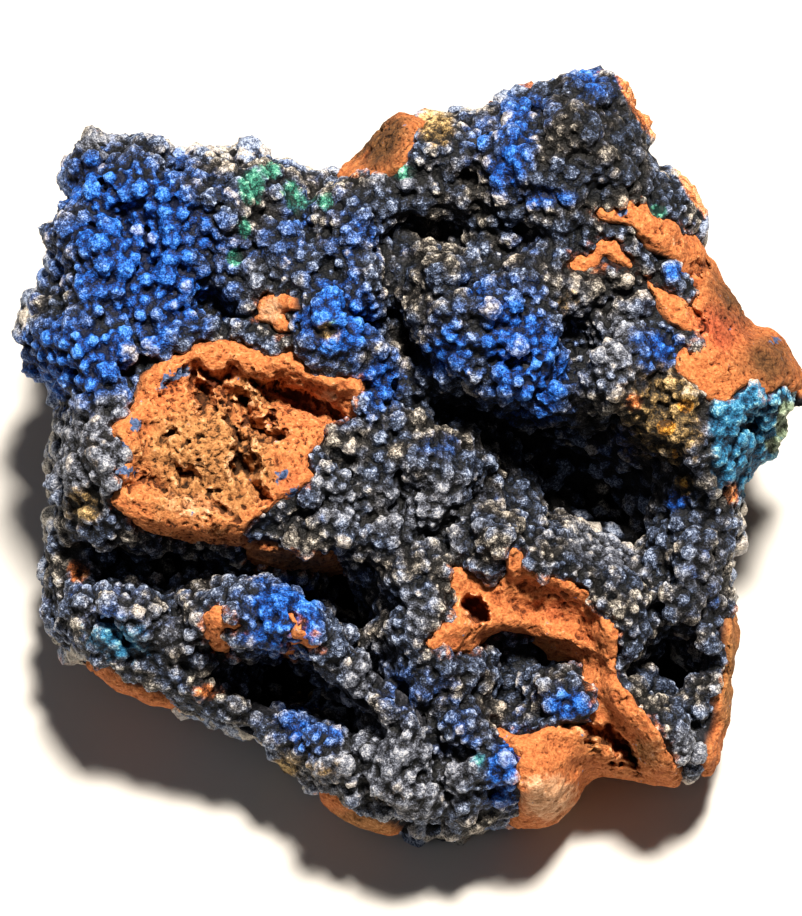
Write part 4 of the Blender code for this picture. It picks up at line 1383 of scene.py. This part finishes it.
@dataclass
class RoughBlock:
    """The block before crust and weathering: the outline carried back and broken off.

    The crust is some millimetres thick and wraps round the flanks.  Its border is soft and
    frayed, and spare keeps it a little off the bare loops.  Behind the shoulder the flanks
    are rough and drawn in by shrink.  Slack is how far a corner may leave the outline.
    """

    relief: Relief
    depth: float = 165.0
    coarse_voxel: float = 2.6
    fine_voxel: float = 1.4
    crust: float = 6.0
    wrap: float = 46.0
    wrap_fray: float = 9.0
    wrap_fade: float = 3.0
    border: float = 1.6
    border_fray: float = 1.2
    spare: float = 0.8
    rough_under: float = 0.4
    shoulder: float = -30.0
    shoulder_reach: float = 14.0
    shrink: float = 3.5
    slack: float = 1.2
    piece: bpy.types.Object = field(init=False)
    points: Points = field(init=False)
    cover: Points = field(init=False)
    rock: Points = field(init=False)

    def build(self) -> None:
        """Make the block and work out how crust covers it."""
        bm = bmesh.new()
        front = bm.faces.new([bm.verts.new((u, v, 0.0)) for u, v in OUTLINE])
        back = bmesh.ops.extrude_face_region(bm, geom=[front])["geom"]
        shift = [item for item in back if isinstance(item, bmesh.types.BMVert)]
        bmesh.ops.translate(bm, verts=shift, vec=(0.0, 0.0, -self.depth))
        bmesh.ops.recalc_face_normals(bm, faces=bm.faces[:])
        for point, normal in BREAKS:
            close_cut(bm, point, normal)
        mesh = bpy.data.meshes.new("block")
        bm.to_mesh(mesh)
        bm.free()
        self.piece = new_object("block", mesh)
        apply_modifier(self.piece, "REMESH", mode="VOXEL", voxel_size=self.coarse_voxel)
        points = corners_of(self.piece)
        carried = np.clip(1.0 + points[:, 2] / self.depth, 0.0, 1.0)
        points[:, 2] = carried * (self.depth + self.relief.height(points[:, :2])) - self.depth
        move_corners(self.piece, points)
        apply_modifier(self.piece, "REMESH", mode="VOXEL", voxel_size=self.fine_voxel)
        self.points = corners_of(self.piece)
        self.cover = self.crust_cover(self.points)
        covered = 1.0 - (1.0 - self.rough_under) * self.cover
        self.rock = self.roughness(self.points) * covered - self.crust * self.cover
        turned = 1.0 + np.clip(1.6 * corners_of(self.piece, "normal")[:, 2], -1.0, 0.0)
        past = behind(self.points, self.shoulder, self.shoulder_reach)
        self.rock -= self.shrink * turned * past

    def crust_cover(self, points: Points) -> Points:
        """How far crust covers each point.

        Args:
            points: (u, v, w) points.

        Returns:
            1 under the crust and 0 on bare rock.
        """
        ragged = noise_at(points, 9.0)
        bare = self.relief.bare(points[:, :2]) + self.spare
        bare += self.border_fray * ragged + self.border_fray * noise_at(points, 3.2)
        past = (-self.wrap - points[:, 2] + self.wrap_fray * ragged) / self.wrap_fade
        return smooth_step(0.5 - 0.5 * np.maximum(bare, past) / self.border)

    def roughness(self, points: Points) -> Points:
        """Broken surface of the limonite.

        Args:
            points: (u, v, w) points.

        Returns:
            How far each point stands out, in millimetres.
        """
        coarse = noise_at(points, 24.0) + 0.5 * noise_at(points, 11.0)
        step = np.abs(noise_at(points, 20.0, np.array([7.0, 3.0, 1.0])))
        broken = behind(points, -32.0, 12.0) * (2.2 * coarse - 3.0 * step)
        return broken + 0.9 * noise_at(points, 6.0) + 0.7 * noise_at(points, 3.4)

    def copy(self, name: str, rise: Points) -> bpy.types.Object:
        """A copy of the block with its surface raised.

        Args:
            name: The copy's name.
            rise: How far each corner moves outwards.

        Returns:
            The copy.
        """
        piece = copy_of(self.piece, name)
        moved = self.points + corners_of(piece, "normal") * rise[:, None]
        stray = inside_distance(moved[:, :2], OUTLINE) < -self.slack
        moved[stray] = self.points[stray]
        move_corners(piece, moved)
        return piece


@dataclass
class LimoniteMatrix:
    """The limonite block: one solid, rough all over and weathered where it is bare.

    Its breaks and pores are drawn within reach of the bare loops and before the face ends
    on w.  They wander from their plain shapes by a coarse and a fine noise.
    """

    block: RoughBlock
    place: Placement
    finish: EarthyLimonite = EarthyLimonite()
    worn_behind: float = -38.0
    voxel: float = 0.8
    reach: float = 2.0
    face_end: float = -40.0
    flank_end: float = -70.0
    refined_to: float = -32.0
    wander: float = 5.0
    wander_by: float = 2.4
    fray: float = 1.7
    least_porous: float = 0.4
    hidden: float = 0.3
    triangles: int = 222_000

    def build(self) -> bpy.types.Object:
        """Make the limonite piece.

        Returns:
            The dressed piece.
        """
        piece = self.block.copy("limonite_rock", self.block.rock)
        self.round_off(piece)
        apply_modifier(piece, "REMESH", mode="VOXEL", voxel_size=self.voxel)
        self.refine(piece)
        self.carve(piece)
        material = self.finish.material()
        weather_tree().run(piece, {"Material": material})
        nodule_tree().run(piece, {"Nodule height": 0.0, "Grain height": 0.0,
                                  "Material": material})
        self.thin(piece)
        self.stain(piece)
        move_corners(piece, self.place.to_frame(corners_of(piece)))
        cut_off(piece, (0.0, 0.0, 0.0), DOWN)
        drop_doubles(piece)
        piece.data.shade_smooth()
        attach(piece, BODY)
        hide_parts(MATRIX_NODE)
        return piece

    def round_off(self, piece: bpy.types.Object) -> None:
        """Wear thin edges away behind the face, so that no slivers stand out.

        Args:
            piece: The rock.
        """
        group = piece.vertex_groups.new(name="behind")
        worn = corners_of(piece)[:, 2] < self.worn_behind
        group.add(np.flatnonzero(worn).tolist(), 1.0, "REPLACE")
        apply_modifier(piece, "SMOOTH", factor=0.6, iterations=12, vertex_group="behind")
        piece.vertex_groups.clear()

    def refine(self, piece: bpy.types.Object) -> None:
        """Divide the faces of the bare front once more.

        Args:
            piece: The rock.
        """
        bm = bmesh.new()
        bm.from_mesh(piece.data)
        points = corners_of(piece)
        front = points[:, 2] > self.refined_to
        front[front] = self.block.relief.bare(points[front, :2]) > -self.reach
        edges = [edge for edge in bm.edges if all(front[end.index] for end in edge.verts)]
        bmesh.ops.subdivide_edges(bm, edges=edges, cuts=1, use_grid_fill=True)
        bmesh.ops.triangulate(bm, faces=[face for face in bm.faces if len(face.verts) > 4])
        bm.to_mesh(piece.data)
        bm.free()

    def carve(self, piece: bpy.types.Object) -> None:
        """Break the bare face open and mark where it is bare and porous.

        Args:
            piece: The rock.
        """
        points = corners_of(piece)
        bare = np.zeros(len(points))
        near = points[:, 2] > self.flank_end
        bare[near] = self.block.relief.bare(points[near, :2])
        past = -self.block.wrap - points[:, 2]
        shown = np.clip((np.maximum(bare, past) + self.block.spare) / self.reach + 0.8, 0.0, 1.0)
        open_face = near & (bare > -self.reach)
        open_face[open_face] = points[open_face, 2] > self.face_end
        face = points[open_face]
        stray = self.wander_by * np.column_stack([noise_at(face, self.wander),
                                                  noise_at(face, self.wander, 9.0)])
        stray += np.column_stack([noise_at(face, self.fray, 4.0), noise_at(face, self.fray, 6.0)])
        points[open_face, 2] += relief_of(face[:, :2] + stray, BARE_SWELLS, BARE_RIDGES)
        move_corners(piece, points)
        set_values(piece, "bare", shown)
        porous = (1.0 - self.least_porous) * np.clip(stain(points[:, :2], POROUS), 0, 1)
        set_values(piece, "porous", self.least_porous + porous)

    def thin(self, piece: bpy.types.Object) -> None:
        """Thin the mesh where crust hides it, and leave the bare face dense.

        Args:
            piece: The rock.
        """
        points = corners_of(piece)
        shown = np.empty(len(points), np.float32)
        piece.data.attributes["bare"].data.foreach_get("value", shown)
        spare = (shown < self.hidden) | (points[:, 2] < self.face_end)
        weight_and_thin(piece, spare, self.triangles)

    def stain(self, piece: bpy.types.Object) -> None:
        """Write the pigments of the bare rock as attributes.

        Args:
            piece: The rock.
        """
        points = corners_of(piece)
        for pigment, blobs in ((Pigment.RED, STAINS[Pigment.RED]),
                               (Pigment.OCHRE, MATRIX_OCHRE),
                               (Pigment.PALE, STAINS[Pigment.PALE]),
                               (Pigment.AZURE, MATRIX_AZURE),
                               (Pigment.UMBER, STAINS[Pigment.UMBER])):
            values = stain(points[:, :2], blobs)
            if pigment is Pigment.UMBER:
                values = np.maximum(values, behind(points, -30.0, 30.0))
            set_values(piece, pigment.value, values)


@dataclass
class AzuriteCrust:
    """The azurite crust: grapes with nodules, grown together into one shell.

    Grapes stand on rounded clusters, which are lower and sink less near a border, and are
    drawn in at the rim.  Where there is no crust the skin is tucked under the rock.
    """

    block: RoughBlock
    place: Placement
    finish: BotryoidalAzurite = BotryoidalAzurite()
    cluster_cell: float = 10.0
    cluster_width: float = 0.68
    cluster_base: float = 0.58
    cluster_height: float = 5.6
    gap_depth: float = 0.28
    gap_cover: float = 0.5
    sink: float = 2.0
    border_height: float = 0.4
    border_sink: float = 0.3
    border_reach: float = 9.0
    border_steep: float = 3.0
    rim_sink: float = 2.0
    rim_reach: float = 9.0
    tuck: float = 2.4
    depth: float = 62.0
    flank: float = -24.0
    voxel: float = 0.5
    triangles: int = 765_000
    core_inset: float = 1.3
    core_voxel: float = 2.6
    limit: int = 196_000
    fewest: int = 700
    wide: float = 200.0
    margin: float = 5.0
    bend: float = 0.65
    rust_border: float = 3.0
    crease: float = 80.0

    def build(self) -> list[bpy.types.Object]:
        """Make the crust and share it out among a few pieces.

        Returns:
            The dressed pieces.
        """
        material = self.finish.material()
        whole = self.skin()
        grapes = grape_tree()
        for layer in GRAPE_LAYERS:
            grapes.run(whole, dict(zip(GRAPE_INPUTS, layer)) | {"Material": material})
        source = copy_of(whole, "grapes")
        apply_modifier(whole, "REMESH", mode="VOXEL", voxel_size=self.voxel)
        weight_and_thin(whole, corners_of(whole)[:, 2] < self.flank, self.triangles)
        memory_tree(source, ("tint", "ball")).run(whole, {"Material": material})
        bpy.data.objects.remove(source, do_unlink=True)
        nodule_tree().run(whole, {"Material": material})
        source = copy_of(whole, "skin")
        self.hollow(whole)
        pieces = self.split(whole)
        marks = memory_tree(source, ("tint", "ball", "crest", "dell"))
        for piece in pieces:
            marks.run(piece, {"Material": material})
        bpy.data.objects.remove(source, do_unlink=True)
        for piece in pieces:
            self.dress(piece, material)
        return pieces

    def skin(self) -> bpy.types.Object:
        """The surface that the grapes grow on, marked with where and how large they grow.

        Returns:
            The skin, cut off behind.
        """
        block = self.block
        clusters = self.clusters()
        flat = block.points[:, :2]
        away = smooth_step(-block.relief.bare(flat) / self.border_reach)
        rim = smooth_step(1.0 - inside_distance(flat, OUTLINE) / self.rim_reach)
        height, sink = (least + (1.0 - least) * away
                        for least in (self.border_height, self.border_sink))
        lumps = height * clusters - sink * self.sink - rim * self.rim_sink
        full = np.clip(self.border_steep * block.cover, 0.0, 1.0)
        whole = block.copy("crust", lumps * full + (block.rock - self.tuck) * (1.0 - full))
        growing = clusters > -self.gap_depth * self.cluster_height
        set_values(whole, "cover", block.cover * np.where(growing, 1.0, self.gap_cover))
        set_values(whole, "grape", self.grape_sizes())
        cut_off(whole, (0.0, 0.0, -self.depth), DOWN)
        return whole

    def clusters(self) -> Points:
        """Rounded clusters that the grapes grow on.

        Returns:
            How far each corner stands out, in millimetres.
        """
        rise = np.zeros(len(self.block.points))
        for index, point in enumerate(self.block.points):
            nearest = noise.voronoi(Vector(point) / self.cluster_cell)[0][0]
            round_top = math.sqrt(max(0.0, 1.0 - (nearest / self.cluster_width) ** 2))
            rise[index] = round_top - self.cluster_base
        return rise * self.cluster_height

    def grape_sizes(self) -> Points:
        """Size of the grapes at each corner.

        Returns:
            A share of the usual size.
        """
        size = np.ones(len(self.block.points))
        for blob in GRAPE_SIZES:
            reach = blob.reach(self.block.points[:, :2])
            size += blob.strength * smooth_step(1.5 - reach)
        return size

    def hollow(self, whole: bpy.types.Object) -> None:
        """Take the rock out of the mass, so that a shell is left.

        Args:
            whole: The mass.
        """
        block = self.block
        core = block.copy("core", block.rock - self.core_inset)
        apply_modifier(core, "REMESH", mode="VOXEL", voxel_size=self.core_voxel)
        core.hide_render = True
        apply_modifier(whole, "BOOLEAN", operation="DIFFERENCE", solver="MANIFOLD", object=core)
        bpy.data.objects.remove(core, do_unlink=True)
        drop_crumbs(whole, self.fewest)

    def split(self, whole: bpy.types.Object) -> list[bpy.types.Object]:
        """Share the crust out among upright strips, so that each has a modest mesh.

        Args:
            whole: The whole crust, which is removed.

        Returns:
            The strips.
        """
        count = math.ceil(triangles_of(whole) / self.limit)
        across = corners_of(whole)[:, 0]
        edges = np.quantile(across, np.linspace(0.0, 1.0, count + 1))
        edges[0] -= self.margin
        edges[-1] += self.margin
        above = -self.bend * self.depth
        high, low = self.place.floor_at(above), self.place.floor_at(-self.depth)
        pieces = []
        for index, (left, right) in enumerate(zip(edges[:-1], edges[1:])):
            bm = bmesh.new()
            bmesh.ops.create_cube(bm, size=1.0)
            for corner in bm.verts:
                corner.co.x = left if corner.co.x < 0.0 else right
                corner.co.z *= 2.0 * self.wide
                floor = high + (corner.co.z - above) * (high - low) / (self.depth + above)
                corner.co.y = self.wide if corner.co.y > 0.0 else floor
            mesh = bpy.data.meshes.new("strip")
            bm.to_mesh(mesh)
            bm.free()
            box = new_object("strip", mesh)
            box.hide_render = True
            piece = copy_of(whole, f"azurite_crust_{index + 1}")
            apply_modifier(piece, "BOOLEAN", operation="INTERSECT", solver="MANIFOLD", object=box)
            bpy.data.objects.remove(box, do_unlink=True)
            pieces.append(piece)
        bpy.data.objects.remove(whole, do_unlink=True)
        return pieces

    def dress(self, piece: bpy.types.Object, material: bpy.types.Material) -> None:
        """Stain a strip, put it in place and hand it to the frame.

        Args:
            piece: The strip.
            material: The crust's material.
        """
        points = corners_of(piece)
        flat = points[:, :2]
        for pigment in (Pigment.AZURE, Pigment.GREY, Pigment.OCHRE, Pigment.GREEN, Pigment.TEAL,
                        Pigment.SOOT, Pigment.SAGE):
            set_values(piece, pigment.value, stain(flat, STAINS[pigment]))
        near = 1.0 + self.block.relief.bare(flat) / self.rust_border
        rust = np.maximum(stain(flat, STAINS[Pigment.RUST]), 0.5 * np.clip(near, 0.0, 1.0))
        past = behind(points, -self.block.wrap + 8.0, 12.0)
        set_values(piece, Pigment.RUST.value, np.maximum(rust, 0.6 * past))
        points = self.place.to_frame(points)
        points[:, 2] = np.maximum(points[:, 2], 0.0)
        move_corners(piece, points)
        drop_doubles(piece)
        piece.data.materials.clear()
        piece.data.materials.append(material)
        piece.data.shade_smooth()
        piece.data.set_sharp_from_angle(angle=math.radians(self.crease))
        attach(piece, BODY)
        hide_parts(CRUST_NODE)


@dataclass
class Studio:
    """Floor, lights and camera round the specimen, in metres."""

    place: Placement
    distance: float = 0.7
    tall: float = 0.21068
    sensor: float = 36.0
    floor_size: float = 6.0

    def build(self) -> None:
        """Make the floor, the lights and the camera."""
        self.build_floor()
        self.build_lights()
        self.build_camera()

    def centre(self) -> Vector:
        """The middle of the face."""
        return Vector(self.place.centre) * MM

    def build_floor(self) -> None:
        """Lay a plain pale floor under the base."""
        bm = bmesh.new()
        bmesh.ops.create_grid(bm, x_segments=1, y_segments=1, size=self.floor_size / 2)
        mesh = bpy.data.meshes.new("floor")
        bm.to_mesh(mesh)
        bm.free()
        floor = new_object("floor", mesh)
        paint = ShaderTree("matt studio paper")
        skin = paint.add("ShaderNodeBsdfPrincipled", Base_Color=linear("#c9c7c3"), Roughness=0.9)
        paint.add("ShaderNodeOutputMaterial", Surface=skin)
        mesh.materials.append(paint.material)

    def add_light(self, name: str, direction: Vector, size: float, power: float,
                  colour: str, away: float = 1.2) -> None:
        """Add a soft square light that looks at the face.

        Args:
            name: The light's name.
            direction: From the face to the light.
            size: Its side, in metres.
            power: Its power, in watts.
            colour: Its colour.
            away: Its distance, in metres.
        """
        lamp = bpy.data.lights.new(name, "AREA")
        lamp.size = size
        lamp.energy = power
        lamp.color = linear(colour)[:3]
        light = bpy.data.objects.new(name, lamp)
        light.location = self.centre() + direction.normalized() * away
        light.rotation_mode = "QUATERNION"
        light.rotation_quaternion = direction.to_track_quat("Z", "Y")
        bpy.context.scene.collection.objects.link(light)

    def build_lights(self) -> None:
        """Set a key from the upper right, a weak fill and a dim even surround."""
        across, up_face, outward = self.place.axes()
        key = across * 0.1 + up_face * 0.56 + outward * 0.82
        self.add_light("key", key, 0.16, 43.0, "#fff6ea")
        fill = across * -0.7 + up_face * 0.1 + outward * 0.7
        self.add_light("fill", fill, 1.0, 1.0, "#e8f0ff")
        world = bpy.data.worlds.new("surround")
        bpy.context.scene.world = world
        world.use_nodes = True
        sky = world.node_tree.nodes["Background"]
        sky.inputs["Color"].default_value = linear("#e9edf2")
        sky.inputs["Strength"].default_value = 0.06

    def build_camera(self) -> None:
        """Look square at the face from in front of it."""
        outward = self.place.axes()[2]
        lens = bpy.data.cameras.new("camera")
        lens.sensor_width = self.sensor
        lens.lens = self.sensor * self.distance / self.tall
        lens.clip_start = 0.01
        camera = bpy.data.objects.new("camera", lens)
        camera.location = self.centre() + outward * self.distance
        camera.rotation_mode = "QUATERNION"
        camera.rotation_quaternion = outward.to_track_quat("Z", "Y")
        bpy.context.scene.collection.objects.link(camera)
        bpy.context.scene.camera = camera
        bpy.context.scene.view_settings.view_transform = "Standard"


def main() -> None:
    """Build the specimen and the studio."""
    logging.basicConfig(level=logging.INFO)
    place = Placement()
    block = RoughBlock(Relief())
    block.build()
    log.info("block: %d corners", len(block.points))
    matrix = LimoniteMatrix(block, place).build()
    log.info("%s: %d triangles", matrix.name, triangles_of(matrix))
    for piece in AzuriteCrust(block, place).build():
        log.info("%s: %d triangles", piece.name, triangles_of(piece))
    bpy.data.objects.remove(block.piece, do_unlink=True)
    Studio(place).build()


if __name__ == "__main__":
    main()
